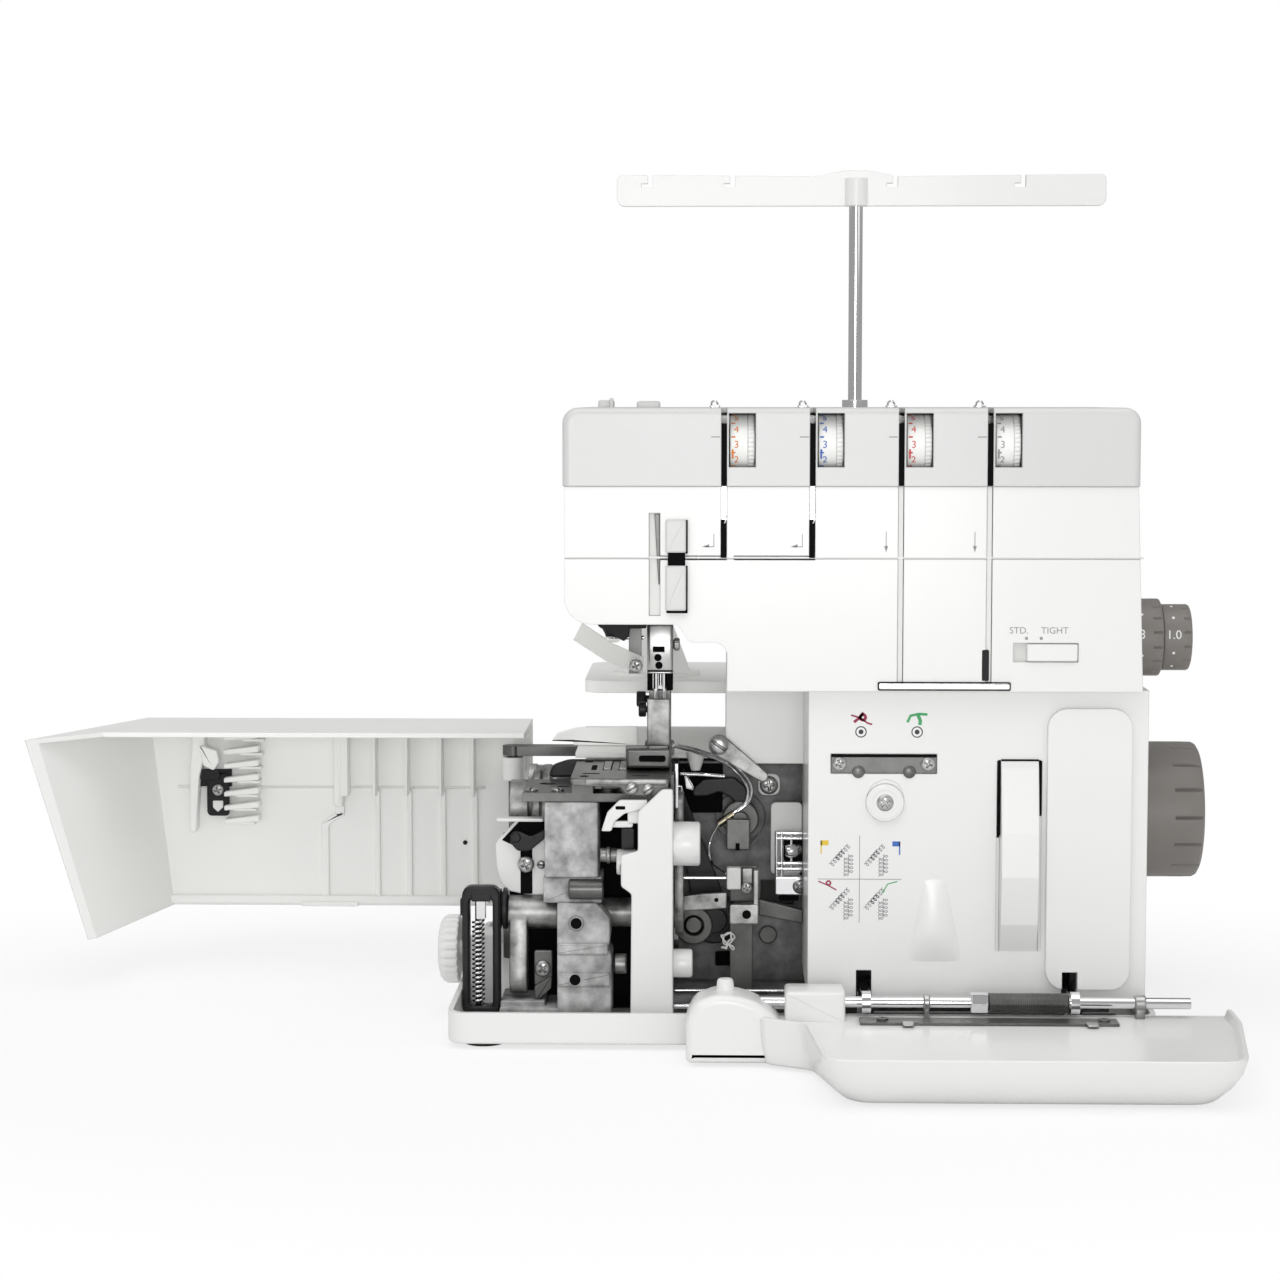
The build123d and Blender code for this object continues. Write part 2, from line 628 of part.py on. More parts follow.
with BuildPart() as column_cover:
    block((neck_x, housing_x[0]), (column_y, column_y + wall), (bed_top, arm_bottom))
    block((neck_x, neck_x + wall), (column_y + wall, stand_y[0]), (bed_top, arm_bottom))

with BuildPart() as bed_plate:
    block((bed_x[0], bed_x[1]), (plate_y[1], housing_y[1] - wall), (bed_top - wall, bed_top))
    block((neck_x, bed_x[1]), (column_y, plate_y[1]), (bed_top - wall, bed_top))
    rod("Z", (bed_top - wall, bed_top), (-100.0, 150.0), 3.0, Mode.SUBTRACT)
write_group("bed_and_column_cover", bed_plate, column_cover)

# ---------------------------------------------------------------- needle plate and feed
feed_x = [(-113.0, -109.5), (-105.5, -102.0)]
feed_y = (64.0, 90.0)
feed_travel = 2.5
with BuildPart() as needle_plate:
    block(plate_x, plate_y, (plate_bottom, plate_top))
    fillet(needle_plate.edges().filter_by(Axis.Z).group_by(Axis.Y)[0], 4.0)
    for bar in feed_x:
        block((bar[0] - free_gap, bar[1] + free_gap), (feed_y[0] - feed_travel - 1, feed_y[1] + feed_travel + 1),
              (plate_bottom, plate_top), Mode.SUBTRACT)
    block((needle_x - 5.5, needle_x + 4.0), (needle_y - 4, needle_y + 4),
          (plate_bottom, plate_top), Mode.SUBTRACT)
    for spot in ((-121.0, 38.0), (-121.0, 92.0)):
        rod("Z", (plate_bottom, plate_top), spot, 2.0, Mode.SUBTRACT)
write(needle_plate, "needle_plate")

with BuildPart() as feed_dog:
    block((feed_x[0][0] - 1, feed_x[1][1] + 1), feed_y, (plate_bottom - 12, plate_bottom - 6))
    for bar in feed_x:
        block(bar, feed_y, (plate_bottom - 6, plate_top + 0.6))
        for tooth in range(12):
            gap = feed_y[0] + 1 + tooth * 2.1
            block(bar, (gap, gap + 1.0), (plate_top - 0.2, plate_top + 0.6), Mode.SUBTRACT)
write(feed_dog, "feed_dog")

strip_y = (casting_y[0], 58.0)
bracket_z = (plate_bottom - 10, plate_bottom - 6)
with BuildPart() as plate_bracket:
    block((-150.0, plate_x[1]), strip_y, bracket_z)
    block((-150.0, -118.0), (strip_y[1], 92.0), bracket_z)
    block((plate_x[0], -117.0), (strip_y[0], 58.0), (bracket_z[1], plate_bottom))
    block((plate_x[0], -118.0), (84.0, 92.0), (bracket_z[1], plate_bottom))
    rod("Z", bracket_z, (-140.0, 76.0), 4.0, Mode.SUBTRACT)
    rod("Z", bracket_z, (-132.0, 66.0), 3.0, Mode.SUBTRACT)

with BuildPart() as lower_knife:
    block((plate_x[1], plate_x[1] + 1.6), (strip_y[0], strip_y[1] - 2), (bracket_z[0] - 6, plate_top))
write_group("lower_knife_bracket", plate_bracket, lower_knife)

# ---------------------------------------------------------------- knife casting and its shaft
boss_x = (-150.0, -143.0)
with BuildPart() as knife_casting:
    slab(facing(casting_y[1]), (
        (-143.0, bracket_z[0]), (-143.0, 92.0), (-137.0, 84.0), (-137.0, 60.0), (-143.0, 46.0),
        (-143.0, 18.0), (-160.0, 16.0), (-160.0, tray_floor), (-107.0, tray_floor), (-107.0, 40.0),
        (-109.0, 62.0), (-114.0, 70.0), (-114.0, bracket_z[0])), casting_y[1] - casting_y[0])
    rod("X", (boss_x[0], -137.0), knife_yz, knife_shaft_radius + 4)
    rod("X", (boss_x[0], -107.0), knife_yz, knife_shaft_radius + running_gap, Mode.SUBTRACT)
    for hole in ((-127.0, 74.0), (-127.0, 30.0)):
        rod("Y", (casting_y[0], casting_y[0] + 6), hole, 2.3, Mode.SUBTRACT)
write(knife_casting, "knife_casting")

knife_arm_x = (plate_x[1] + 2.0, plate_x[1] + 6.0)
with BuildPart() as knife_shaft:
    rod("X", (-159.0, knife_arm_x[1]), knife_yz, knife_shaft_radius)

with BuildPart() as knife_lever:
    link(across(-158.0), (knife_yz, (knife_yz[0], 26.0)), (11.0, 6.0), 7.0)
    rod("X", (-158.0, -151.0), knife_yz, knife_shaft_radius, Mode.SUBTRACT)
    rod("X", (-158.0, -151.0), (knife_yz[0], 26.0), 2.5, Mode.SUBTRACT)

with BuildPart() as upper_knife:
    link(across(knife_arm_x[0]), (knife_yz, (knife_yz[0] - 6, 108.0)), (11.0, 5.0), 4.0)
    block((knife_arm_x[0], knife_arm_x[0] + 1.6), (knife_yz[0] - 12, knife_yz[0]), (104.0, plate_top + 5))
    rod("X", knife_arm_x, knife_yz, knife_shaft_radius, Mode.SUBTRACT)
write_group("upper_knife", knife_shaft, knife_lever, upper_knife)

release_xz = (-154.0, 89.0)
spring_x = (-179.0, -161.0)
spring_y = (48.0, 56.0)
spring_z = (tray_floor, 67.0)
with BuildPart() as spring_frame:
    block(spring_x, spring_y, spring_z)
    fillet(spring_frame.edges().filter_by(Axis.Y), 3.0)
    block((spring_x[0] + 3.5, spring_x[1] - 3.5), spring_y,
          (spring_z[0] + 5, spring_z[1] - 6), Mode.SUBTRACT)
write(spring_frame, "spring_frame")

spring_centre = ((spring_x[0] + spring_x[1]) / 2, (spring_y[0] + spring_y[1]) / 2)
with BuildPart() as frame_spring:
    spring_span = (spring_z[0] + 5, spring_z[1] - 6)
    rod("Z", spring_span, spring_centre, 2.0)
    turns = 15
    pitch = (spring_span[1] - spring_span[0]) / turns
    for turn in range(turns):
        low = spring_span[0] + (turn + 0.2) * pitch
        rod("Z", (low, low + 0.6 * pitch), spring_centre, 3.9)
write(frame_spring, "frame_spring")

with BuildPart() as lever_bracket:
    block((-165.0, -143.0), (60.0, 64.0), (74.0, 100.0))
    block((-165.0, -143.0), (50.0, 60.0), (74.0, 76.5))
    rod("Y", (53.0, 60.0), release_xz, 1.5)
    rod("Y", (53.0, 54.2), release_xz, 2.8)

with BuildPart() as knife_release_lever:
    link(facing(59.6), (release_xz, (release_xz[0] - 7, release_xz[1] - 2)), (4.5, 2.6), 5.0)
    rod("Y", (54.6, 59.6), release_xz, 1.5 + running_gap, Mode.SUBTRACT)
write(knife_release_lever, "knife_release_lever")

width_yz = (82.0, 31.0)
with BuildPart() as width_dial_bracket:
    block((-177.0, -164.0), (width_yz[0] - 10, width_yz[0] + 10), (tray_floor, width_yz[1] + 9))
    rod("X", (-177.0, -164.0), width_yz, 4.0 + running_gap, Mode.SUBTRACT)

with BuildPart() as cutting_width_dial:
    rod("X", (-193.0, tray_x[0] - 0.8), width_yz, 16.5)
    fillet(cutting_width_dial.edges().group_by(Axis.X)[0], 2.0)
    rod("X", (tray_x[0] - 0.8, -165.0), width_yz, 4.0)
    with BuildSketch(across(-191.0)) as width_grip:
        with Locations(width_yz):
            with PolarLocations(16.5, 24):
                Rectangle(1.6, 1.6)
    extrude(amount=8.2, mode=Mode.SUBTRACT)
write(cutting_width_dial, "cutting_width_dial")

# ---------------------------------------------------------------- front partition
partition_x = (-110.0, -74.0)
partition_y = (22.0, 40.0)
with BuildPart() as front_partition:
    slab(facing(partition_y[0] + wall), (
        (partition_x[0], tray_floor), (partition_x[1], tray_floor), (partition_x[1], 116.0),
        (-92.0, 108.0), (-100.0, 96.0), (-100.0, 72.0), (partition_x[0], 66.0)), wall)
    block((partition_x[1] - wall, partition_x[1]), (partition_y[0] + wall, partition_y[1]), (tray_floor, 106.0))
    rod("X", (partition_x[1], partition_x[1] + 12), (32.0, 92.0), 10.0)
    rod("X", (partition_x[1], partition_x[1] + 8), (32.0, 37.0), 7.0)
write_group("front_partition", front_partition, lever_bracket, width_dial_bracket)

# ---------------------------------------------------------------- loopers
with BuildPart() as lower_looper_axle:
    rod("Y", (82.5, 150.0), lower_looper_xz, lower_looper_shaft)

looper_tip = (-79.0, 108.0)
with BuildPart() as lower_looper:
    rod("Y", (86.0, 98.0), lower_looper_xz, 12.0)
    link(facing(90.0), (lower_looper_xz, looper_tip), (9.0, 3.0), 4.0)
    slab(facing(86.0), (
        (looper_tip[0] - 1, looper_tip[1] + 3), (looper_tip[0] + 3, looper_tip[1] + 2),
        (looper_tip[0] + 3, looper_tip[1] - 3), (looper_tip[0] - 5, looper_tip[1] + 1)), 2.5)
    rod("Y", (83.5, 98.0), lower_looper_xz, lower_looper_shaft, Mode.SUBTRACT)
write_group("lower_looper", lower_looper_axle, lower_looper)

with BuildPart() as upper_looper_axle:
    rod("Y", (88.0, 130.0), upper_looper_xz, upper_looper_shaft)

upper_tip = (-72.0, 106.0)
with BuildPart() as upper_looper:
    rod("Y", (91.0, 98.5), upper_looper_xz, 9.0)
    link(facing(96.0), (upper_looper_xz, upper_tip), (6.0, 2.6), 3.5)
    slab(facing(96.0), ((upper_tip[0] - 2.4, upper_tip[1]), (upper_tip[0] + 2.4, upper_tip[1]),
                        (upper_tip[0] - 4.0, upper_tip[1] + 11)), 2.0)
    rod("Y", (91.0, 98.5), upper_looper_xz, upper_looper_shaft, Mode.SUBTRACT)
write_group("upper_looper", upper_looper_axle, upper_looper)

with BuildPart() as looper_thread_bracket:
    block((-52.0, -42.5), (66.0, 69.0), (frame_floor, 60.0))
    block((-52.0, -40.0), (62.0, 72.0), (56.0, 84.0))
    block((-49.5, -42.5), (62.0, 72.0), (59.0, 81.0), Mode.SUBTRACT)
    block((-73.5, -52.0), (67.0, 69.0), (56.0, 64.0))

with BuildPart() as looper_guide_lever:
    link(facing(column_y), ((-51.0, 137.0), (-38.0, 130.5)), (5.5, 2.2), 2.0)
    rod("Y", (column_y - 3.6, column_y - 2.0), (-51.0, 137.0), 3.6)
    block((-55.0, -47.0), (column_y - 3.6, column_y - 3.0), (136.6, 137.4), Mode.SUBTRACT)

box_x = (-34.0, housing_x[0])
with BuildPart() as takeup_box:
    block(box_x, (84.0, frame_front), (90.0, 93.0))
    block(box_x, (84.0, frame_front), (66.0, 78.0))
    block((box_x[0], box_x[0] + 2), (84.0, frame_front), (78.0, 90.0))
    rod("X", (box_x[0] + 2, box_x[1]), (90.0, 84.0), 1.6)
write_group("looper_thread_guides", looper_thread_bracket, looper_guide_lever, takeup_box)

# ---------------------------------------------------------------- needle bar and presser
with BuildPart() as needle_bar:
    rod("Z", needle_bar_z, (needle_x, needle_y), needle_bar_radius)

with BuildPart() as needle_clamp:
    block(clamp_x, (needle_y - clamp_depth / 2, needle_y + clamp_depth / 2), clamp_z)
    fillet(needle_clamp.edges().filter_by(Axis.Z), 1.0)
    rod("Z", (needle_bar_z[0], clamp_z[1]), (needle_x, needle_y), needle_bar_radius, Mode.SUBTRACT)

needle_spots = [(needle_x - needle_spacing / 2, needle_y), (needle_x + needle_spacing / 2, needle_y)]
with BuildPart() as needles:
    for spot in needle_spots:
        rod("Z", (needle_tip + 5, clamp_z[0]), spot, needle_radius)
        with Locations((spot[0], spot[1], needle_tip + 2.5)):
            Cone(0.2, needle_radius, 5.0)
write_group("needle_bar", needle_bar, needle_clamp, needles)

with BuildPart() as presser_bar:
    rod("Z", (150.0, 268.0), (needle_x, presser_y), presser_bar_radius)

foot_sole = plate_top + foot_lift_gap + 0.6
shank_y = (presser_y - 5, presser_y + 5)
with BuildPart() as presser_foot:
    block((needle_x - 16, needle_x + 5), (60.0, 100.0), (foot_sole, foot_sole + 2.6))
    block((needle_x - 4.5, needle_x + 3.5), (needle_y - 5, needle_y + 5),
          (foot_sole, foot_sole + 2.6), Mode.SUBTRACT)
    block((needle_x - 16, needle_x + 2), (60.0, 63.0), (foot_sole + 2.6, foot_sole + 12))
    block((needle_x - 5.5, needle_x + 5.5), shank_y, (foot_sole + 2.6, 156.0))
    rod("Z", (150.0, 156.0), (needle_x, presser_y), presser_bar_radius, Mode.SUBTRACT)

with BuildPart() as foot_screw:
    rod("X", (needle_x - 11.5, needle_x - 5.5), (presser_y, 152.0), 3.8)
write_group("presser_foot", presser_bar, presser_foot, foot_screw)

lifter_yz = (112.0, 206.0)
with BuildPart() as presser_lifter:
    link(across(needle_x - 4), (lifter_yz, (152.0, 206.0)), (4.0, 3.0), 8.0)
    rod("X", (needle_x - 4, needle_x + 4), lifter_yz, 2.0 + running_gap, Mode.SUBTRACT)
write(presser_lifter, "presser_lifter")

with BuildPart() as lifter_pivot:
    rod("X", (needle_x - 9, needle_x + 9), lifter_yz, 2.0)
    for side in (needle_x - 9, needle_x + 6):
        block((side, side + 3), (bar_block_y[1], lifter_yz[0] + 5), (guide_z[0], lifter_yz[1] + 5))
    for side in (needle_x - 6, needle_x + 4):
        rod("X", (side, side + 2), lifter_yz, 3.0)

with BuildPart() as lamp_housing:
    block(lamp_x, lamp_y, (head_bottom, head_bottom + lamp_height))
    block((lamp_x[0] + 1.5, lamp_x[1] - 1.5), (lamp_y[0] + 1.5, lamp_y[1] - 1.5),
          (head_bottom, head_bottom + lamp_height - 4), Mode.SUBTRACT)

with BuildPart() as lamp_lens:
    rod("Z", (head_bottom - 3, head_bottom + lamp_height - 4),
        ((lamp_x[0] + lamp_x[1]) / 2, (lamp_y[0] + lamp_y[1]) / 2), 4.4)
    fillet(lamp_lens.edges().group_by(Axis.Z)[0], 3.0)
write(lamp_lens, "lamp_lens")

guard_xz = (-97.5, 170.0)
guard_y = (64.0, 66.0)
with BuildPart() as guard_bracket:
    block((guard_xz[0] - 3.5, guard_xz[0] + 2.5), guard_y, (guard_xz[1] - 4, head_bottom))
    block((guard_xz[0] - 3.5, guard_xz[0] + 2.5), (guard_y[0] - 7, guard_y[1]),
          (head_bottom - 1.5, head_bottom))
    rod("Y", (guard_y[0] - 3.6, guard_y[0]), guard_xz, 1.5)
    rod("Y", (guard_y[0] - 5.0, guard_y[0] - 3.6), guard_xz, 3.0)
write_group("head_brackets", lifter_pivot, guard_bracket, lamp_housing)

with BuildPart() as eye_guard:
    slab(facing(guard_y[0] - 0.6), (
        (guard_xz[0] + 3.5, guard_xz[1] - 4), (guard_xz[0] + 3.5, guard_xz[1] + 4), (-108.0, 180.0),
        (-123.0, 190.0), (-127.0, 182.0), (-110.0, 171.0)), 2.4)
    rod("Y", (guard_y[0] - 3.0, guard_y[0] - 0.6), guard_xz, 1.5 + running_gap, Mode.SUBTRACT)
write(eye_guard, "eye_guard")

# ---------------------------------------------------------------- side cover, drawn open
def opened(x, y):
    """Where a point of the closed side cover lies when the cover is swung open by 90 degrees."""
    return (side_hinge[0] + (y - side_hinge[1]), side_hinge[1] - (x - side_hinge[0]))


cover_back = 205.0
shelf_right = -131.0
nose_top, nose_bottom = -41.0, -11.0
corner_top, corner_bottom = 0.0, 11.0
knuckle_outer = side_pin_radius + 3.0

with BuildPart() as side_cover:
    with BuildSketch(level(cover_bottom)):
        with BuildLine():
            Polyline(*[opened(x, y) for x, y in (
                (cover_left, cover_back), (cover_left, corner_bottom), (cover_right, nose_bottom),
                (shelf_right, nose_bottom + 31), (shelf_right, cover_back))], close=True)
        make_face()
    with BuildSketch(level(cover_top)):
        with BuildLine():
            Polyline(*[opened(x, y) for x, y in (
                (cover_left, cover_back), (cover_left, corner_top), (cover_right, nose_top),
                (shelf_right, nose_top + 31), (shelf_right, cover_back))], close=True)
        make_face()
    loft(ruled=True)
    with BuildSketch(level(cover_bottom)) as hollow_bottom:
        with BuildLine():
            Polyline(*[opened(x, y) for x, y in (
                (cover_left + wall, cover_back + 1), (cover_left + wall, corner_bottom + 2.1),
                (cover_right + 1, nose_bottom + 2.4), (cover_right + 1, cover_back + 1))], close=True)
        make_face()
    with BuildSketch(level(cover_top - wall)) as hollow_top:
        with BuildLine():
            Polyline(*[opened(x, y) for x, y in (
                (cover_left + wall, cover_back + 1), (cover_left + wall, corner_top + 2.0),
                (cover_right + 1, nose_top + 3.0), (cover_right + 1, cover_back + 1))], close=True)
        make_face()
    loft(ruled=True, mode=Mode.SUBTRACT)
    # ribs inside the long wall
    for rib_y, thickness in ((104.0, 4.0), (121.0, 1.6), (138.0, 1.6), (156.0, 1.6), (173.0, 1.6)):
        low, high = opened(cover_left + wall, rib_y), opened(cover_left + wall + 11, rib_y + thickness)
        block((low[0], high[0]), (high[1], low[1]), (86.0, cover_top - wall))
    # fins beside the latch
    for fin in range(7):
        fin_y = 46.0 + 0.9 * fin
        start, end = opened(cover_left + wall, fin_y), opened(cover_left + wall + 7, fin_y + 12)
        block((start[0], end[0]), (end[1], start[1]), (70.0 + fin * 7.4, 71.4 + fin * 7.4))
    # foot of the lower edge
    tab_low, tab_high = opened(cover_left, 82.0), opened(cover_left + 6, 112.0)
    block((tab_low[0], tab_high[0]), (tab_high[1], tab_low[1]), (cover_bottom, cover_bottom + wall))
    # hinge ears and knuckles
    for ear_z in ((cover_bottom + 2, cover_bottom + 14), (98.0, 110.0)):
        block((side_hinge[0] - 4, side_hinge[0] + 4), (side_hinge[1], side_hinge[1] + 33), ear_z)
        rod("Z", ear_z, side_hinge, knuckle_outer)
        rod("Z", ear_z, side_hinge, side_pin_radius + running_gap, Mode.SUBTRACT)
write(side_cover, "side_cover")

latch_low, latch_high = opened(cover_left + wall, 24.0), opened(cover_left + wall + 3, 45.0)
with BuildPart() as side_cover_latch:
    block((latch_low[0], latch_high[0]), (latch_high[1], latch_low[1]), (90.0, 99.0))
    block((latch_low[0] + 8, latch_high[0] - 2), (latch_high[1], latch_low[1]), (76.0, 90.0))
    cross_screws([(latch_low[0] + 13.5, 94.5), (latch_low[0] + 13.5, 81.0)], "-Y", latch_high[1], 2.4, 1.2)
write(side_cover_latch, "side_cover_latch")

with BuildPart() as side_hinge_pin:
    rod("Z", (cover_bottom - 4, 116.0), side_hinge, side_pin_radius)

with BuildPart() as side_hinge_bracket:
    post_x = (side_hinge[0] + 10, webs[0][0])
    for lug_z in ((tray_floor, cover_bottom + 1.5), (60.0, 70.0), (111.0, 116.0)):
        block((side_hinge[0], post_x[1]), (side_hinge[1] - 5, side_hinge[1] + 5), lug_z)
        rod("Z", lug_z, side_hinge, knuckle_outer)
        rod("Z", (max(lug_z[0], cover_bottom - 4), lug_z[1]), side_hinge, side_pin_radius, Mode.SUBTRACT)
    block((post_x[1] - 5, post_x[1]), (side_hinge[1] - 5, side_hinge[1] + 5), (tray_floor, 116.0))
write_group("side_hinge", side_hinge_pin, side_hinge_bracket)

# ---------------------------------------------------------------- front cover, drawn folded down
near_y = -117.0
near_x = (-4.5, 153.5)
mid_y = -36.0
mid_x = (-15.0, 166.0)
rear_y = -8.0
side_block_x = -40.0
lobe_x = -73.0
cover_points = [
    (near_x[0], near_y), (near_x[1], near_y), (mid_x[1], mid_y), (mid_x[1], rear_y),
    (side_block_x, rear_y), (side_block_x, mid_y), (mid_x[0], mid_y - 12)]

with BuildPart() as front_cover:
    with BuildSketch(level(front_cover_z[0])) as cover_floor:
        with BuildLine():
            Polyline(*cover_points, close=True)
        make_face()
        fillet(cover_floor.vertices().group_by(Axis.Y)[0], 9.0)
    extrude(amount=front_cover_z[1] - front_cover_z[0])
    fillet(front_cover.faces().sort_by(Axis.Z)[0].edges().group_by(Axis.Y)[0], 5.0)
    with BuildSketch(level(front_cover_z[0] + wall)) as cover_hollow:
        with BuildLine():
            Polyline(*cover_points, close=True)
        make_face()
        offset(amount=-wall, kind=Kind.INTERSECTION)
    extrude(amount=front_cover_z[1], mode=Mode.SUBTRACT)
    # low rear wall, so that the hinge can pass above it
    block((side_block_x, mid_x[1] + 1), (rear_y - wall - 1, rear_y + 1),
          (liner_z[1], front_cover_z[1] + 1), Mode.SUBTRACT)
    # rounded lobe at the left end
    with BuildSketch(across(lobe_x)) as lobe:
        with Locations((front_hinge[0] - 7, 16.0)):
            RectangleRounded(25.0, 29.0, 9.0)
    extrude(amount=side_block_x - lobe_x)
    fillet(front_cover.faces().sort_by(Axis.X)[0].edges(), 6.0)
    rod("Z", (30.5, 34.5), (-60.0, front_hinge[0] - 4), 5.0)
write(front_cover, "front_cover")

with BuildPart() as front_cover_liner:
    with BuildSketch(level(liner_z[0])) as liner_face:
        with BuildLine():
            Polyline(*cover_points, close=True)
        make_face()
        offset(amount=-wall - 0.02, kind=Kind.INTERSECTION)
    extrude(amount=liner_z[1] - liner_z[0])
    for knuckle in ((32.0, 44.0), (126.0, 138.0)):
        block(knuckle, (front_hinge[0] - 3, front_hinge[0] + 3), (liner_z[1], front_hinge[1]))
        rod("X", knuckle, front_hinge, knuckle_radius)
        rod("X", knuckle, front_hinge, front_shaft_radius + running_gap, Mode.SUBTRACT)
write(front_cover_liner, "front_cover_liner")

with BuildPart() as hinge_plate:
    block((4.0, 118.0), (-33.0, front_hinge[0] - 8), (liner_z[1], liner_z[1] + 1.2))
    cross_screws([(14.0, -27.5), (112.0, -27.5)], "Z", liner_z[1] + 1.2, 2.6, 1.0)
write(hinge_plate, "hinge_plate")

collar_x = (54.0, 62.0)
with BuildPart() as hinge_collar:
    with BuildSketch(across(collar_x[0])) as hexagon:
        with Locations(front_hinge):
            RegularPolygon(knuckle_radius, 6)
            Circle(front_shaft_radius + running_gap, mode=Mode.SUBTRACT)
    extrude(amount=collar_x[1] - collar_x[0])

with BuildPart() as hinge_spring:
    sleeve = (collar_x[1], hinge_arm_x[1][0] - 0.5)
    rod("X", sleeve, front_hinge, 3.4)
    coils = 24
    coil_pitch = (sleeve[1] - sleeve[0]) / coils
    for coil in range(coils):
        start = sleeve[0] + (coil + 0.2) * coil_pitch
        rod("X", (start, start + 0.6 * coil_pitch), front_hinge, 4.3)
    rod("X", sleeve, front_hinge, front_shaft_radius + running_gap, Mode.SUBTRACT)
write_group("hinge_spring", hinge_collar, hinge_spring)

with BuildPart() as hinge_shaft:
    rod("X", front_shaft_x, front_hinge, front_shaft_radius)

with BuildPart() as hinge_arms:
    for arm in hinge_arm_x:
        block(arm, (front_hinge[0], 30.0), (front_hinge[1] - 3, front_hinge[1] + 3))
        rod("X", arm, front_hinge, knuckle_radius)
        rod("X", arm, front_hinge, front_shaft_radius, Mode.SUBTRACT)
        block(arm, (26.0, 30.0), (tray_floor, front_hinge[1]))
write_group("front_hinge", hinge_shaft, hinge_arms)

# ---------------------------------------------------------------- spool stand and pole
stand_x = (-125.0, 130.0)
with BuildPart() as spool_stand:
    block(stand_x, stand_y, (shelf_top, stand_top))
    fillet(spool_stand.edges().filter_by(Axis.Z), 10.0)
    rod("Z", (shelf_top, stand_top), pole_xy, tube_radius, Mode.SUBTRACT)
write(spool_stand, "spool_stand")

spool_row = [-spool_pitch * 1.5 + spool_pitch * n for n in range(4)]
spool_y = 168.0
with BuildPart() as spool_pins:
    for spool_x in spool_row:
        rod("Z", (stand_top, holder_top), (spool_x, spool_y), spool_root_radius)
        rod("Z", (holder_top, stand_top + spool_pin_height), (spool_x, spool_y), spool_pin_radius)

with BuildPart() as spool_cushions:
    for spool_x in spool_row:
        rod("Z", (stand_top, cushion_top), (spool_x, spool_y), 22.0)
        rod("Z", (stand_top, cushion_top), (spool_x, spool_y), spool_root_radius, Mode.SUBTRACT)

with BuildPart() as cone_holders:
    for spool_x in spool_row:
        with Locations((spool_x, spool_y, (cushion_top + holder_top) / 2)):
            Cone(17.0, 8.0, holder_height)
        rod("Z", (cushion_top, holder_top), (spool_x, spool_y), spool_root_radius, Mode.SUBTRACT)
write_group("cone_holders", spool_cushions, cone_holders)

with BuildPart() as pole_tube:
    rod("Z", (shelf_top, collar_top), pole_xy, tube_radius)
    rod("Z", (collar_top - 5, collar_top), pole_xy, tube_radius + 1.5)
    rod("Z", (stand_top + 2, collar_top), pole_xy, pole_radius + running_gap, Mode.SUBTRACT)
write_group("spool_pins", spool_pins, pole_tube)

with BuildPart() as pole_rod:
    rod("Z", (272.0, guide_bar_z[0]), pole_xy, pole_radius)
    rod("Z", (guide_bar_z[0], guide_bar_z[0] + 10), pole_xy, 2.0)
write(pole_rod, "pole_rod")

with BuildPart() as thread_guide_bar:
    bar_y = (pole_xy[1] - 2.0, pole_xy[1] + 2.0)
    with BuildSketch(facing(bar_y[1])) as bar_face:
        with BuildLine():
            FilletPolyline(
                (guide_bar_x[1], guide_bar_z[0]), (guide_bar_x[1], guide_bar_z[1] - 2),
                (pole_xy[0] + 22, guide_bar_z[1] - 3), (pole_xy[0] + 6, guide_bar_z[1]),
                (pole_xy[0] - 6, guide_bar_z[1]), (pole_xy[0] - 22, guide_bar_z[1] - 3),
                (guide_bar_x[0], guide_bar_z[1] - 2), (guide_bar_x[0], guide_bar_z[0]),
                radius=(4.0, 3.0, 2.0, 2.0, 2.0, 2.0, 3.0, 4.0), close=True)
        make_face()
    extrude(amount=bar_y[1] - bar_y[0])
    for notch in (-94.0, -52.0, 31.0, 96.0):
        block((notch - 1.2, notch + 1.2), bar_y, (guide_bar_z[1] - 7, guide_bar_z[1] + 1), Mode.SUBTRACT)
        block((notch - 4.5, notch + 1.2), bar_y, (guide_bar_z[1] - 8.5, guide_bar_z[1] - 6.5), Mode.SUBTRACT)
    rod("Z", (guide_bar_z[0], guide_bar_z[0] + 14), pole_xy, 6.0)
    rod("Z", (guide_bar_z[0], guide_bar_z[0] + 10.4), pole_xy, 2.0 + running_gap, Mode.SUBTRACT)
write(thread_guide_bar, "thread_guide_bar")

# ---------------------------------------------------------------- mains inlet and switch
with BuildPart() as machine_socket:
    block((housing_x[1] - 12, housing_x[1] + 1), (socket_y[0], socket_y[1]), socket_z)
    block((housing_x[1] - 9, housing_x[1] + 1), (socket_y[0] + 4, socket_y[1] - 4),
          (socket_z[0] + 5, socket_z[1] - 5), Mode.SUBTRACT)
    for pin in (socket_y[0] + 9, socket_y[1] - 9):
        rod("X", (housing_x[1] - 9, housing_x[1] - 1), (pin, (socket_z[0] + socket_z[1]) / 2), 1.6)
write(machine_socket, "machine_socket")

switch_pivot = (housing_x[1] - 1.5, (switch_z[0] + switch_z[1]) / 2)
with BuildPart() as power_switch:
    slab(facing(socket_y[1] - 6.6), (
        (switch_pivot[0] - 3, switch_z[0] + 1.6), (switch_pivot[0] + 1.0, switch_z[0] + 1.2),
        (switch_pivot[0] + 2.2, switch_pivot[1]), (switch_pivot[0] + 4.0, switch_z[1] - 1.2),
        (switch_pivot[0] - 3, switch_z[1] - 1.6)), socket_y[1] - socket_y[0] - 13.2)
    rod("Y", (socket_y[0] + 6.2, socket_y[1] - 6.2), switch_pivot, 1.2)
write(power_switch, "power_switch")

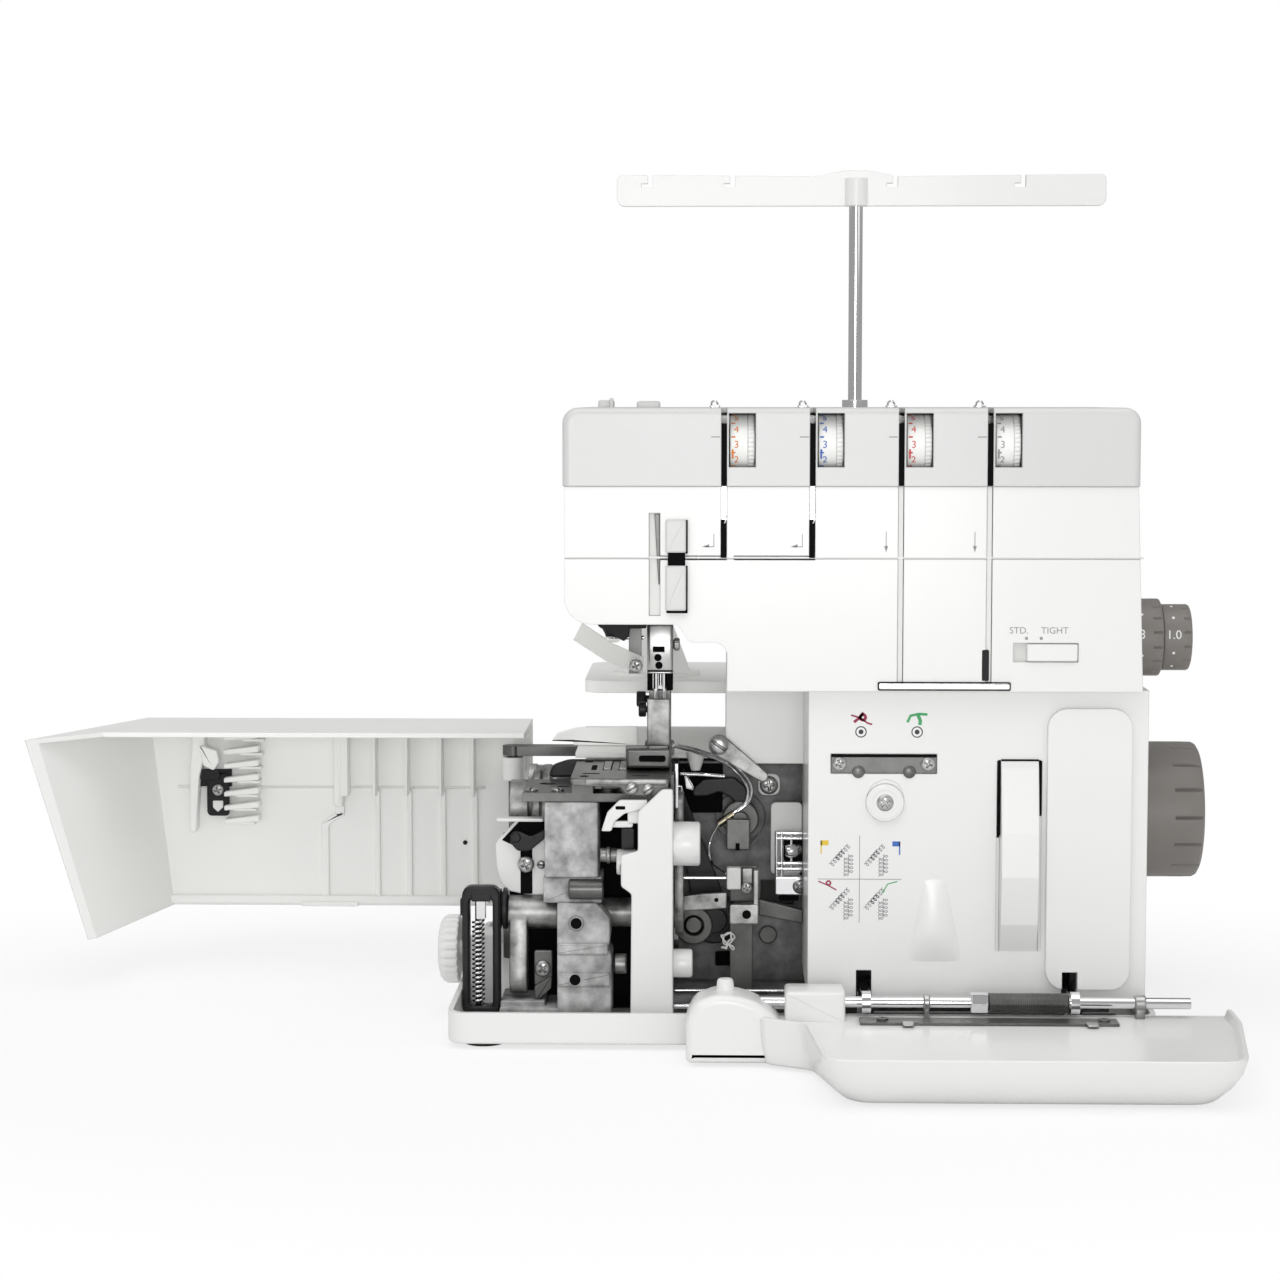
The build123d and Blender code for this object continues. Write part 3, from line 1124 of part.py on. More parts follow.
# ---------------------------------------------------------------- fasteners
with BuildPart() as panel_screws:
    cross_screws([(x, z) for x in (-4.0, 36.0) for z in (130.5,)], "-Y", housing_y[0] + 0.2, 2.6, 1.0)
    cross_screws([(16.6, 113.0)], "-Y", housing_y[0] - 2.0, 4.2, 1.4)
    cross_screws([(-36.0, 113.6)], "-Y", frame_front, 4.4, 1.8)

with BuildPart() as machinery_screws:
    cross_screws([(-146.0, 50.0), (-134.0, 50.0)], "Z", bracket_z[1], 2.6, 1.4)
    cross_screws([(-149.0, 81.0)], "-Y", 60.0, 2.6, 1.4)
write_group("trim_screws", tool_plate, panel_screws, machinery_screws)
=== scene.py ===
"""Looks of a household overlock machine with its side and front covers open.

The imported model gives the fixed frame. Each class below dresses one sub-assembly: it gives the frame's
own solids a finish and adds or replaces pieces with surfaces worked out on grids. Sizes are in
millimetres in the machine's frame: X to the right, Y to the back, Z up. A method that takes a bench makes
pieces and puts them into the scene through it.
"""

from __future__ import annotations

import json
import logging
import math
from dataclasses import dataclass
from enum import Enum

import bmesh
import bpy
import numpy as np
from numpy.typing import NDArray
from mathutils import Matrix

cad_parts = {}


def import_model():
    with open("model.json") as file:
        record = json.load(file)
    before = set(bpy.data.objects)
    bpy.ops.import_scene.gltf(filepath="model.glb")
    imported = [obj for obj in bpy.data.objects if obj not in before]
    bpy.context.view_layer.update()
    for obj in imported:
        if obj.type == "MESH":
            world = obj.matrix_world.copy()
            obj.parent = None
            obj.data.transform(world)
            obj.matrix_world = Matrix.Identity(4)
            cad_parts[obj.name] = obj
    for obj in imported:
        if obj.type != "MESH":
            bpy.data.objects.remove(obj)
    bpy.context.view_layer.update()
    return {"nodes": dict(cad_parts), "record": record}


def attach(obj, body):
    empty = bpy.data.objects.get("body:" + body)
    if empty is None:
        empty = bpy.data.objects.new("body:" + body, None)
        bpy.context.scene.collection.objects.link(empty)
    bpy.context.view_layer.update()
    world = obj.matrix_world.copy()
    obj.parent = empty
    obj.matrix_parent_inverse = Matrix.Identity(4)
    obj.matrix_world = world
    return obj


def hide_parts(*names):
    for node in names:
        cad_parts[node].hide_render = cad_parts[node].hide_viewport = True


Array = NDArray[np.float64]
Pair = tuple[float, float]
Triple = tuple[float, float, float]
MM = 0.001

# What all finishes share, with lengths in millimetres.
COAT_ROUGHNESS = 0.12
LEAST_ROUGHNESS = 0.02
MOTTLE_DETAIL = 5.0
MOTTLE_SPAN = (0.3, 0.7)
GRAIN_DETAIL = 2.0
GRAIN_HEIGHT = 0.4
SHADER_SAMPLES = 6
# reach of the ambient occlusion that paints shade into hollows
HOLLOW_SHADE_REACH = 12.0

logging.basicConfig(level=logging.INFO, format="%(name)s: %(message)s")
log = logging.getLogger("overlock")


# ------------------------------------------------------------------ finishes
@dataclass(frozen=True)
class Finish:
    """A procedural finish: a base colour with mottling, a fine grain, softly rounded edges and, where its
    share is set, painted shade that darkens the colour in hollows.

    Lengths are in millimetres. The mottle's and the grain's scales count their patches in a metre.
    """

    label: str
    colour: Triple
    roughness: float = 0.4
    metallic: float = 0.0
    mottle: float = 0.03
    mottle_scale: float = 18.0
    grain: float = 0.05
    grain_scale: float = 1600.0
    gloss_spread: float = 0.06
    edge: float = 0.5
    coat: float = 0.0
    transmission: float = 0.0
    specular: float = 0.5
    glow: float = 0.0
    # share of painted shade: how far the colour darkens in hollows found by ambient occlusion
    soot: float = 0.0

    def material(self) -> bpy.types.Material:
        """Builds the finish's node material once and returns it.

        Returns:
            The Blender material, shared by every piece that has this finish.
        """
        known = bpy.data.materials.get(self.label)
        if known is not None:
            return known
        material = bpy.data.materials.new(self.label)
        material.use_nodes = True
        tree = material.node_tree
        shader = tree.nodes["Principled BSDF"]
        shader.inputs["Metallic"].default_value = self.metallic
        shader.inputs["Coat Weight"].default_value = self.coat
        shader.inputs["Coat Roughness"].default_value = COAT_ROUGHNESS
        shader.inputs["Transmission Weight"].default_value = self.transmission
        shader.inputs["Specular IOR Level"].default_value = self.specular
        where = tree.nodes.new("ShaderNodeTexCoord").outputs["Object"]
        cloud = self._noise(tree, where, self.mottle_scale, MOTTLE_DETAIL)
        tint = tree.nodes.new("ShaderNodeValToRGB")
        for stop, place, sign in zip(tint.color_ramp.elements, MOTTLE_SPAN, (-1.0, 1.0)):
            stop.position = place
            stop.color = [min(1.0, channel * (1.0 + sign * self.mottle)) for channel in self.colour] + [1.0]
        tree.links.new(cloud, tint.inputs["Fac"])
        tree.links.new(self._sooted(tree, tint.outputs["Color"]), shader.inputs["Base Color"])
        sheen = tree.nodes.new("ShaderNodeMapRange")
        sheen.inputs["To Min"].default_value = max(LEAST_ROUGHNESS, self.roughness - self.gloss_spread)
        sheen.inputs["To Max"].default_value = min(1.0, self.roughness + self.gloss_spread)
        tree.links.new(cloud, sheen.inputs["Value"])
        tree.links.new(sheen.outputs["Result"], shader.inputs["Roughness"])
        bump = tree.nodes.new("ShaderNodeBump")
        bump.inputs["Strength"].default_value = self.grain
        bump.inputs["Distance"].default_value = GRAIN_HEIGHT * MM
        grain = self._noise(tree, where, self.grain_scale, GRAIN_DETAIL)
        tree.links.new(grain, bump.inputs["Height"])
        if self.edge > 0.0:
            rim = tree.nodes.new("ShaderNodeBevel")
            rim.samples = SHADER_SAMPLES
            rim.inputs["Radius"].default_value = self.edge * MM
            tree.links.new(rim.outputs["Normal"], bump.inputs["Normal"])
        tree.links.new(bump.outputs["Normal"], shader.inputs["Normal"])
        if self.glow > 0.0:
            shader.inputs["Emission Color"].default_value = self.colour + (1.0,)
            shader.inputs["Emission Strength"].default_value = self.glow
        return material

    def _sooted(self, tree: bpy.types.NodeTree, colour: bpy.types.NodeSocket) -> bpy.types.NodeSocket:
        """Paints shade into a colour: darkens it where ambient occlusion finds the surface shut in, by the
        painted shade's share of how shut in it is.

        Args:
            tree: the material's nodes.
            colour: the colour before the shade is painted in.

        Returns:
            The colour to show.
        """
        if self.soot <= 0.0:
            return colour
        # painted shade: ambient occlusion scales the base colour down in hollows
        cover = tree.nodes.new("ShaderNodeAmbientOcclusion")
        cover.samples = SHADER_SAMPLES
        cover.inputs["Distance"].default_value = HOLLOW_SHADE_REACH * MM
        share = tree.nodes.new("ShaderNodeMapRange")
        share.inputs["To Min"].default_value = 1.0 - self.soot
        tree.links.new(cover.outputs["AO"], share.inputs["Value"])
        scaled = tree.nodes.new("ShaderNodeVectorMath")
        scaled.operation = "SCALE"
        tree.links.new(colour, scaled.inputs[0])
        tree.links.new(share.outputs["Result"], scaled.inputs["Scale"])
        return scaled.outputs["Vector"]

    @staticmethod
    def _noise(tree: bpy.types.NodeTree, where: bpy.types.NodeSocket, scale: float,
               detail: float) -> bpy.types.NodeSocket:
        """Adds a noise texture that reads a position, and gives its value.

        Args:
            tree: the material's nodes.
            where: the position that it reads.
            scale: patches in a metre.
            detail: how finely a patch is broken up.

        Returns:
            The texture's value, from nought to one.
        """
        noise = tree.nodes.new("ShaderNodeTexNoise")
        noise.inputs["Scale"].default_value = scale
        noise.inputs["Detail"].default_value = detail
        tree.links.new(where, noise.inputs["Vector"])
        return noise.outputs["Fac"]


def printed(label: str, colour: Triple) -> Finish:
    """Makes the finish of a print: flat, without grain or rounded edges."""
    return Finish(label, colour, 0.5, mottle=0.02, grain=0.02, edge=0.0)


class Dress(Enum):
    """The finishes of the machine's pieces."""

    SHELL = Finish("white_moulding", (0.80, 0.80, 0.79), 0.33, mottle=0.008, grain=0.03, coat=0.25, edge=0.8)
    # painted light: a lighter copy of the white moulding for white parts that sit in shade
    PALE = Finish("white_moulding_lightened_for_shade", (0.95, 0.95, 0.93), 0.4, mottle=0.008, grain=0.03, coat=0.1, edge=0.8)
    BAND = Finish("grey_moulding", (0.63, 0.635, 0.625), 0.36, mottle=0.01, grain=0.05, coat=0.15, edge=0.9)
    KNOB = Finish("warm_grey_moulding", (0.205, 0.192, 0.178), 0.42, mottle=0.02, grain=0.06, edge=0.4)
    DIAL = Finish("white_dial", (0.90, 0.90, 0.88), 0.38, mottle=0.01, grain=0.03, edge=0.3)
    # CASTING, ALLOY, STEEL, WORN and SMOKED set a share of painted shade: their colour darkens in hollows
    CASTING = Finish("mottled_iron", (0.22, 0.225, 0.22), 0.55, 0.1, mottle=0.45, mottle_scale=130.0,
                     grain=0.5, grain_scale=420.0, gloss_spread=0.12, edge=1.2, soot=0.8)
    ALLOY = Finish("mottled_alloy", (0.46, 0.465, 0.46), 0.66, 0.1, mottle=0.42, mottle_scale=150.0,
                   specular=0.3, grain=0.45, grain_scale=380.0, gloss_spread=0.15, edge=1.2, soot=0.8)
    STEEL = Finish("machined_steel", (0.50, 0.50, 0.495), 0.3, 0.9, mottle=0.16, mottle_scale=90.0,
                   grain=0.03, grain_scale=500.0, gloss_spread=0.08, edge=0.5, soot=0.85)
    WORN = Finish("worn_steel", (0.34, 0.34, 0.332), 0.38, 0.8, mottle=0.6, mottle_scale=120.0, grain=0.1,
                  grain_scale=420.0, gloss_spread=0.12, edge=0.8, soot=0.85)
    # painted shade: near-black fill for plates set in gaps, holes, slots and openings where there is only
    # shade
    VOID = Finish("painted_gap_shade", (0.006, 0.006, 0.006), 0.95, mottle=0.02, grain=0.0, edge=0.0, specular=0.05)
    SMOKED = Finish("dark_steel", (0.15, 0.15, 0.145), 0.32, 0.6, mottle=0.3, mottle_scale=60.0, grain=0.08,
                    grain_scale=500.0, gloss_spread=0.1, edge=0.5, soot=0.7)
    # painted shade: a mid grey standing for the shade inside channels, slots and grooves
    GROOVE = Finish("channel_shade_grey", (0.76, 0.76, 0.74), 0.45, mottle=0.03, grain=0.05, edge=0.2)
    PLATED = Finish("bright_plating", (0.82, 0.82, 0.83), 0.08, 1.0, mottle=0.02, grain=0.01,
                    gloss_spread=0.03, edge=0.3)
    BLACKED = Finish("blackened_steel", (0.016, 0.016, 0.017), 0.35, 0.3, specular=0.35, mottle=0.25,
                     mottle_scale=90.0, grain=0.15, grain_scale=700.0, edge=0.6)
    BLACK = Finish("black_moulding", (0.012, 0.012, 0.013), 0.5, mottle=0.1, grain=0.1, edge=0.4,
                   specular=0.25)
    RUBBER = Finish("foot_rubber", (0.02, 0.02, 0.02), 0.8, mottle=0.15, grain=0.3,
                    grain_scale=900.0, edge=0.6)
    CLEAR = Finish("clear_moulding", (0.74, 0.74, 0.71), 0.12, mottle=0.02, grain=0.0, transmission=0.4,
                   gloss_spread=0.02, edge=0.0)
    LENS = Finish("lamp_glass", (0.95, 0.95, 0.9), 0.15, mottle=0.01, grain=0.0, transmission=0.6,
                  gloss_spread=0.04, edge=0.0, glow=0.15)
    BRASS = Finish("brass", (0.40, 0.36, 0.26), 0.25, 1.0, mottle=0.12, grain=0.05, edge=0.3)
    THREAD = Finish("white_thread", (0.86, 0.86, 0.84), 0.8, mottle=0.06, mottle_scale=500.0, grain=0.6,
                    grain_scale=3000.0, edge=0.0)
    INK = printed("dark_print", (0.03, 0.03, 0.035))
    INK_GREY = printed("grey_print", (0.30, 0.30, 0.31))
    INK_MAROON = printed("maroon_print", (0.30, 0.015, 0.06))
    INK_RED = printed("red_print", (0.62, 0.06, 0.06))
    INK_ORANGE = printed("orange_print", (0.75, 0.22, 0.03))
    INK_BLUE = printed("blue_print", (0.04, 0.14, 0.50))
    INK_GREEN = printed("green_print", (0.05, 0.36, 0.12))
    INK_YELLOW = printed("yellow_print", (0.75, 0.52, 0.04))


FRAME_DRESS: dict[Dress, tuple[str, ...]] = {
    Dress.SHELL: ("base_tray", "arm_shell", "rear_covers", "lower_front_panel", "front_partition",
                  "tension_slider", "cutting_width_dial", "presser_lifter", "front_cover",
                  "front_cover_liner", "thread_guide_bar"),
    Dress.RUBBER: ("rubber_feet", "drive_belt"),
    Dress.CASTING: ("cast_frame", "arm_casting"),
    Dress.WORN: ("shaft_bushes", "main_shaft"),
    Dress.BLACKED: ("drive_motor", "spring_frame", "hinge_spring"),
    Dress.BAND: ("top_cover",),
    Dress.PLATED: ("arm_thread_guides", "frame_spring", "looper_thread_guides", "front_hinge",
                   "spool_pins", "needle_bar", "pole_rod"),
    Dress.STEEL: ("tension_units", "trim_screws", "motor_pulley", "feed_dog", "upper_knife",
                  "lower_looper", "upper_looper", "presser_foot"),
    # these white parts sit in shade and get the lightened copy of the white moulding: painted light
    Dress.PALE: ("bed_and_column_cover", "spool_stand", "cone_holders", "side_cover"),
    Dress.SMOKED: ("needle_plate", "lower_knife_bracket", "head_brackets", "side_hinge",
                   "needle_rock_shaft", "hinge_plate"),
    Dress.ALLOY: ("knife_casting",),
    Dress.LENS: ("lamp_lens",),
    Dress.BLACK: ("machine_socket", "knife_release_lever", "side_cover_latch", "power_switch"),
    Dress.KNOB: ("handwheel", "differential_feed_dial", "stitch_length_dial"),
    Dress.DIAL: ("tension_dial_1", "tension_dial_2", "tension_dial_3", "tension_dial_4"),
    Dress.CLEAR: ("eye_guard",),
}


# ------------------------------------------------------------------ surfaces
class Axis(Enum):
    """The machine's axes: each names its direction and the two directions round it."""

    X = (0, 1, 2)
    Y = (1, 2, 0)
    Z = (2, 0, 1)


@dataclass
class Form:
    """Points in millimetres and the faces between them."""

    points: Array
    faces: list[list[int]]

    @staticmethod
    def joined(forms: list[Form]) -> Form:
        """Puts several forms into one, with their faces renumbered.

        Args:
            forms: the forms in order.

        Returns:
            The joined form.
        """
        starts = np.cumsum([0] + [len(form.points) for form in forms[:-1]])
        faces = [[int(corner + start) for corner in face] for form, start in zip(forms, starts)
                 for face in form.faces]
        return Form(np.vstack([form.points for form in forms]), faces)


def grid_form(grid: Array, ring: bool = False, loop: bool = False, capped: bool = False) -> Form:
    """Makes a form from a grid of points: neighbours in row and column share a four-sided face.

    Args:
        grid: points as rows, columns, three coordinates.
        ring: whether the last column joins the first.
        loop: whether the last row joins the first.
        capped: whether the first and last rows are closed with a face each.

    Returns:
        The form.
    """
    rows, columns = grid.shape[:2]
    row, column = np.meshgrid(np.arange(rows - (not loop)), np.arange(columns - (not ring)), indexing="ij")
    below, beside = (row + 1) % rows, (column + 1) % columns
    corners = (row * columns + column, below * columns + column, below * columns + beside,
               row * columns + beside)
    faces = np.stack(corners, axis=-1).reshape(-1, 4).tolist()
    if capped:
        faces.append(list(range(columns)))
        faces.append(list(range((rows - 1) * columns, rows * columns))[::-1])
    return Form(grid.reshape(-1, 3).astype(float), faces)


def lathe(axis: Axis, centre: Pair, profile: list[Pair], sides: int = 48,
          ripple: Array | None = None) -> Form:
    """Turns a profile about an axis: each profile point becomes a ring of its radius.

    Args:
        axis: the axis of the turned shape.
        centre: its two other coordinates, in the axis's own order.
        profile: pairs of distance along the axis and radius.
        sides: points round a ring.
        ripple: factors on the radius, one row for each profile point and one column for each side.

    Returns:
        The closed form.
    """
    along, first, second = axis.value
    distance, radius = np.asarray(profile, dtype=float).T
    angle = np.linspace(0.0, 2.0 * math.pi, sides, endpoint=False)
    spread = np.broadcast_to(radius[:, None], (len(radius), sides))
    if ripple is not None:
        spread = spread * ripple
    grid = np.empty((len(radius), sides, 3))
    grid[..., along] = distance[:, None]
    grid[..., first] = centre[0] + spread * np.cos(angle)
    grid[..., second] = centre[1] + spread * np.sin(angle)
    return grid_form(grid, ring=True, capped=True)


def rounded(corners: list[Pair], radii: list[float] | float, steps: int = 6) -> Array:
    """Rounds a polygon: each corner becomes a parabola between points a radius along its two edges.

    Args:
        corners: the polygon's corners in order.
        radii: the distance from each corner at which its rounding starts.
        steps: points in each rounding.

    Returns:
        The outline as rows of two coordinates.
    """
    corner = np.asarray(corners, dtype=float)
    reach = np.broadcast_to(np.asarray(radii, dtype=float), (len(corner),))[:, None]
    before, after = np.roll(corner, 1, axis=0) - corner, np.roll(corner, -1, axis=0) - corner
    enter = corner + before / np.linalg.norm(before, axis=1, keepdims=True) * reach
    leave = corner + after / np.linalg.norm(after, axis=1, keepdims=True) * reach
    t = np.linspace(0.0, 1.0, steps)[None, :, None]
    curve = (1 - t) ** 2 * enter[:, None] + 2 * t * (1 - t) * corner[:, None] + t ** 2 * leave[:, None]
    return curve.reshape(-1, 2)


def inset_outline(outline: Array, amount: float | Array) -> Array:
    """Moves an outline inwards: each point goes along the mean of its two edge normals.

    Args:
        outline: a closed outline of two coordinates.
        amount: the distance inwards, one for all points or one for each.

    Returns:
        The smaller outline, point for point.
    """
    area = 0.5 * np.sum(outline[:, 0] * np.roll(outline[:, 1], -1) - np.roll(outline[:, 0], -1)
                        * outline[:, 1])
    run = np.roll(outline, -1, axis=0) - np.roll(outline, 1, axis=0)
    length = np.maximum(np.linalg.norm(run, axis=1, keepdims=True), 1e-9)
    inwards = np.stack((-run[:, 1], run[:, 0]), axis=1) / length * math.copysign(1.0, area)
    return outline + inwards * np.reshape(amount, (-1, 1))


def plate(axis: Axis, outline: Array, span: Pair, edge: float = 0.4) -> Form:
    """Makes a plate with softened edges: towards each end its outline shrinks along a quarter circle.

    One more ring lies in each face, a little further in, so that the face is lit evenly up to it.

    Args:
        axis: the direction of the thickness.
        outline: the outline in the axis's two other coordinates.
        span: where the plate starts and ends along the axis.
        edge: how far the softened edge reaches in.

    Returns:
        The closed form.
    """
    along, first, second = axis.value
    wide_edge, few_rings, many_rings, face_ring = 1.5, 3, 8, 1.15
    turn = np.linspace(0.0, math.pi / 2, few_rings if edge < wide_edge else many_rings)
    reach = edge * np.append(face_ring, 1.0 - np.sin(turn))
    depth = edge * np.append(0.0, 1.0 - np.cos(turn))
    steps = list(zip(span[0] + depth, reach)) + list(zip(span[1] - depth, reach))[::-1]
    grid = np.empty((len(steps), len(outline), 3))
    for row, (distance, reach) in enumerate(steps):
        ring = inset_outline(outline, reach)
        grid[row, :, along] = distance
        grid[row, :, first] = ring[:, 0]
        grid[row, :, second] = ring[:, 1]
    return grid_form(grid, ring=True, capped=True)


def smooth_path(points: list[Triple], samples: int = 12) -> Array:
    """Draws a smooth line through points: between neighbours it is the cubic with matching slopes.

    Args:
        points: the points that the line passes.
        samples: steps between neighbours.

    Returns:
        The line's points.
    """
    knot = np.asarray(points, dtype=float)
    held = np.vstack((2 * knot[0] - knot[1], knot, 2 * knot[-1] - knot[-2]))
    t = np.linspace(0.0, 1.0, samples, endpoint=False)[None, :, None]
    a, b, c, d = (held[i:len(held) - 3 + i, None] for i in range(4))
    curve = 0.5 * (2 * b + (c - a) * t + (2 * a - 5 * b + 4 * c - d) * t ** 2
                   + (3 * b - a - 3 * c + d) * t ** 3)
    return np.vstack((curve.reshape(-1, 3), knot[-1:]))


def wire(path: Array, radius: float, up: Triple = (0.0, 1.0, 0.0), sides: int = 10) -> Form:
    """Carries a round section along a path.

    The section's first direction is square to the path and to the up direction, its second to the path and
    the first.

    Args:
        path: the points of the middle line.
        radius: the section's radius.
        up: a direction that the path never runs along.
        sides: points round the section.

    Returns:
        The closed form.
    """
    run = np.gradient(path, axis=0)
    run /= np.linalg.norm(run, axis=1, keepdims=True)
    side = np.cross(np.asarray(up, dtype=float), run)
    side /= np.linalg.norm(side, axis=1, keepdims=True)
    over = np.cross(run, side)
    angle = np.linspace(0.0, 2.0 * math.pi, sides, endpoint=False)
    grid = (path[:, None] + side[:, None] * (radius * np.cos(angle))[None, :, None]
            + over[:, None] * (radius * np.sin(angle))[None, :, None])
    return grid_form(grid, ring=True, capped=True)


def coil(axis: Axis, centre: Pair, span: Pair, radius: float, turns: float, gauge: float) -> Form:
    """Makes a helical spring: its middle line turns about the axis while it moves along it.

    Args:
        axis: the spring's axis.
        centre: the axis's two other coordinates.
        span: where the spring starts and ends.
        radius: radius of the wire's middle line.
        turns: number of turns.
        gauge: the wire's half thickness.

    Returns:
        The closed form.
    """
    along, first, second = axis.value
    points_a_turn, wire_sides = 20, 8
    t = np.linspace(0.0, 1.0, int(turns * points_a_turn) + 1)
    angle = 2.0 * math.pi * turns * t
    path = np.empty((len(t), 3))
    path[:, along] = span[0] + gauge + (span[1] - span[0] - 2 * gauge) * t
    path[:, first] = centre[0] + radius * np.cos(angle)
    path[:, second] = centre[1] + radius * np.sin(angle)
    up = [0.0, 0.0, 0.0]
    up[along] = 1.0
    return wire(path, gauge, tuple(up), wire_sides)


class Recess(Enum):
    """What is cut into a screw's head."""

    CROSS = 2
    SLOT = 1


def screw_head(axis: Axis, centre: Pair, seat: float, top: float, radius: float,
               recess: Recess = Recess.CROSS, tilt: float = 0.0) -> Form:
    """Makes a screw head as a disc whose height follows a dome less its recess.

    The height over the seat is the top's times a dome's fall towards the rim. Where the point lies within
    a bar through the middle, or within either of two crossed bars, the recess's depth is taken off.

    Args:
        axis: the direction of the screw.
        centre: its two other coordinates.
        seat: where the head rests along the axis.
        top: how far the head's top is along the axis.
        radius: the head's radius.
        recess: the recess's kind.
        tilt: how far the recess is turned, in degrees.

    Returns:
        The closed form.
    """
    along, first, second = axis.value
    share = np.concatenate((np.linspace(0.03, 0.9, 22), (0.95, 0.985, 1.0, 1.0)))
    angle = np.linspace(0.0, 2.0 * math.pi, 56, endpoint=False)
    across = share[:, None] * np.cos(angle + math.radians(tilt))
    upright = share[:, None] * np.sin(angle + math.radians(tilt))
    dome_fall, half_width, cross_reach, slot_reach, depth = 0.75, 0.13, 0.62, 2.0, 0.55
    dome = np.sqrt(np.maximum(0.0, 1.0 - dome_fall * share[:, None] ** 3))
    rise = np.broadcast_to(dome, across.shape).copy()
    reach = cross_reach if recess is Recess.CROSS else slot_reach
    bars = (np.abs(across) < half_width) & (np.abs(upright) < reach)
    if recess is Recess.CROSS:
        bars |= (np.abs(upright) < half_width) & (np.abs(across) < reach)
    rise[bars] -= depth
    rise[-1] = 0.0
    grid = np.empty(across.shape + (3,))
    grid[..., along] = seat + (top - seat) * rise
    grid[..., first] = centre[0] + radius * share[:, None] * np.cos(angle)
    grid[..., second] = centre[1] + radius * share[:, None] * np.sin(angle)
    return grid_form(grid, ring=True, capped=True)


def lettering(text: str, size: float, thickness: float = 0.12) -> Form:
    """Makes a number or word as a thin solid, centred on zero: X across, Y up, Z out.

    Args:
        text: what it reads.
        size: the font's height.
        thickness: how thick it is.

    Returns:
        The form, finely divided, so that it can be wrapped on a round.
    """
    curve = bpy.data.curves.new("letters", "FONT")
    curve.body = text
    curve.size = size
    curve.extrude = thickness / 2
    curve.align_x = "CENTER"
    curve.align_y = "CENTER"
    curve.resolution_u = 6
    holder = bpy.data.objects.new("letters", curve)
    mesh = bpy.data.meshes.new_from_object(holder)
    work = bmesh.new()
    work.from_mesh(mesh)
    bmesh.ops.remove_doubles(work, verts=work.verts[:], dist=1e-5)
    bmesh.ops.triangulate(work, faces=work.faces[:])
    rounds, longest = 2, 0.12
    for _ in range(rounds):
        long_edges = [edge for edge in work.edges if edge.calc_length() > size * longest]
        bmesh.ops.subdivide_edges(work, edges=long_edges, cuts=1)
        bmesh.ops.triangulate(work, faces=work.faces[:])
    work.to_mesh(mesh)
    work.free()
    points = np.empty(len(mesh.vertices) * 3)
    mesh.vertices.foreach_get("co", points)
    faces = [list(face.vertices) for face in mesh.polygons]
    bpy.data.objects.remove(holder)
    bpy.data.curves.remove(curve)
    bpy.data.meshes.remove(mesh)
    return Form(points.reshape(-1, 3), faces)


def on_round(flat: Form, axis: Axis, centre: Pair, radius: float, along: float, heading: float) -> Form:
    """Wraps a flat form on a round: its up direction becomes an angle about the axis.

    Args:
        flat: the form, X across, Y up, Z out.
        axis: the round's axis.
        centre: the axis's two other coordinates.
        radius: the round's radius.
        along: where the form's middle lies along the axis.
        heading: the angle of the form's middle about the axis, in degrees, from the axis's first side.

    Returns:
        The wrapped form.
    """
    axial, first, second = axis.value
    across, upright, height = flat.points.T
    around = math.radians(heading) - upright / radius
    out = radius + height
    points = np.empty_like(flat.points)
    points[:, axial] = along + across
    points[:, first] = centre[0] + out * np.cos(around)
    points[:, second] = centre[1] + out * np.sin(around)
    return Form(points, flat.faces)


def on_front(flat: Form, spot: Pair, face: float) -> Form:
    """Lays a flat form on a surface that faces the front.

    Args:
        flat: the form, X across, Y up, Z out.
        spot: X and Z of its middle.
        face: Y of the surface.

    Returns:
        The placed form.
    """
    points = np.stack((spot[0] + flat.points[:, 0], face - flat.points[:, 2], spot[1] + flat.points[:, 1]),
                      axis=1)
    return Form(points, flat.faces)


def ribbon(points: list[Pair], width: float, thickness: float = 0.12) -> Form:
    """Makes a printed line as a thin solid: X across, Y up, Z out, with square ends.

    Args:
        points: the line's corners.
        width: the line's width.
        thickness: how thick it is.

    Returns:
        The form.
    """
    line = np.asarray(points, dtype=float)
    run = np.gradient(line, axis=0)
    run /= np.maximum(np.linalg.norm(run, axis=1, keepdims=True), 1e-9)
    side = np.stack((-run[:, 1], run[:, 0]), axis=1) * width / 2
    grid = np.empty((len(line), 4, 3))
    for column, (sign, height) in enumerate(((-1, -0.5), (1, -0.5), (1, 0.5), (-1, 0.5))):
        grid[:, column, :2] = line + sign * side
        grid[:, column, 2] = height * thickness
    return grid_form(grid, ring=True, capped=True)


def disc(radius: float, thickness: float = 0.12, hole: float = 0.0, sides: int = 28) -> Form:
    """Makes a printed dot or ring as a thin solid: X across, Y up, Z out. A dot has a pinhole.

    Args:
        radius: the outer radius.
        thickness: how thick it is.
        hole: the ring's inner radius.
        sides: points round it.

    Returns:
        The closed form.
    """
    pinhole = 0.001
    angle = np.linspace(0.0, 2.0 * math.pi, sides, endpoint=False)
    inner, half = max(hole, pinhole), thickness / 2
    rings = [(inner, -half), (radius, -half), (radius, half), (inner, half)]
    grid = np.stack([np.stack((r * np.cos(angle), r * np.sin(angle), np.full(sides, h)), axis=1)
                     for r, h in rings])
    return grid_form(grid, ring=True, loop=True)


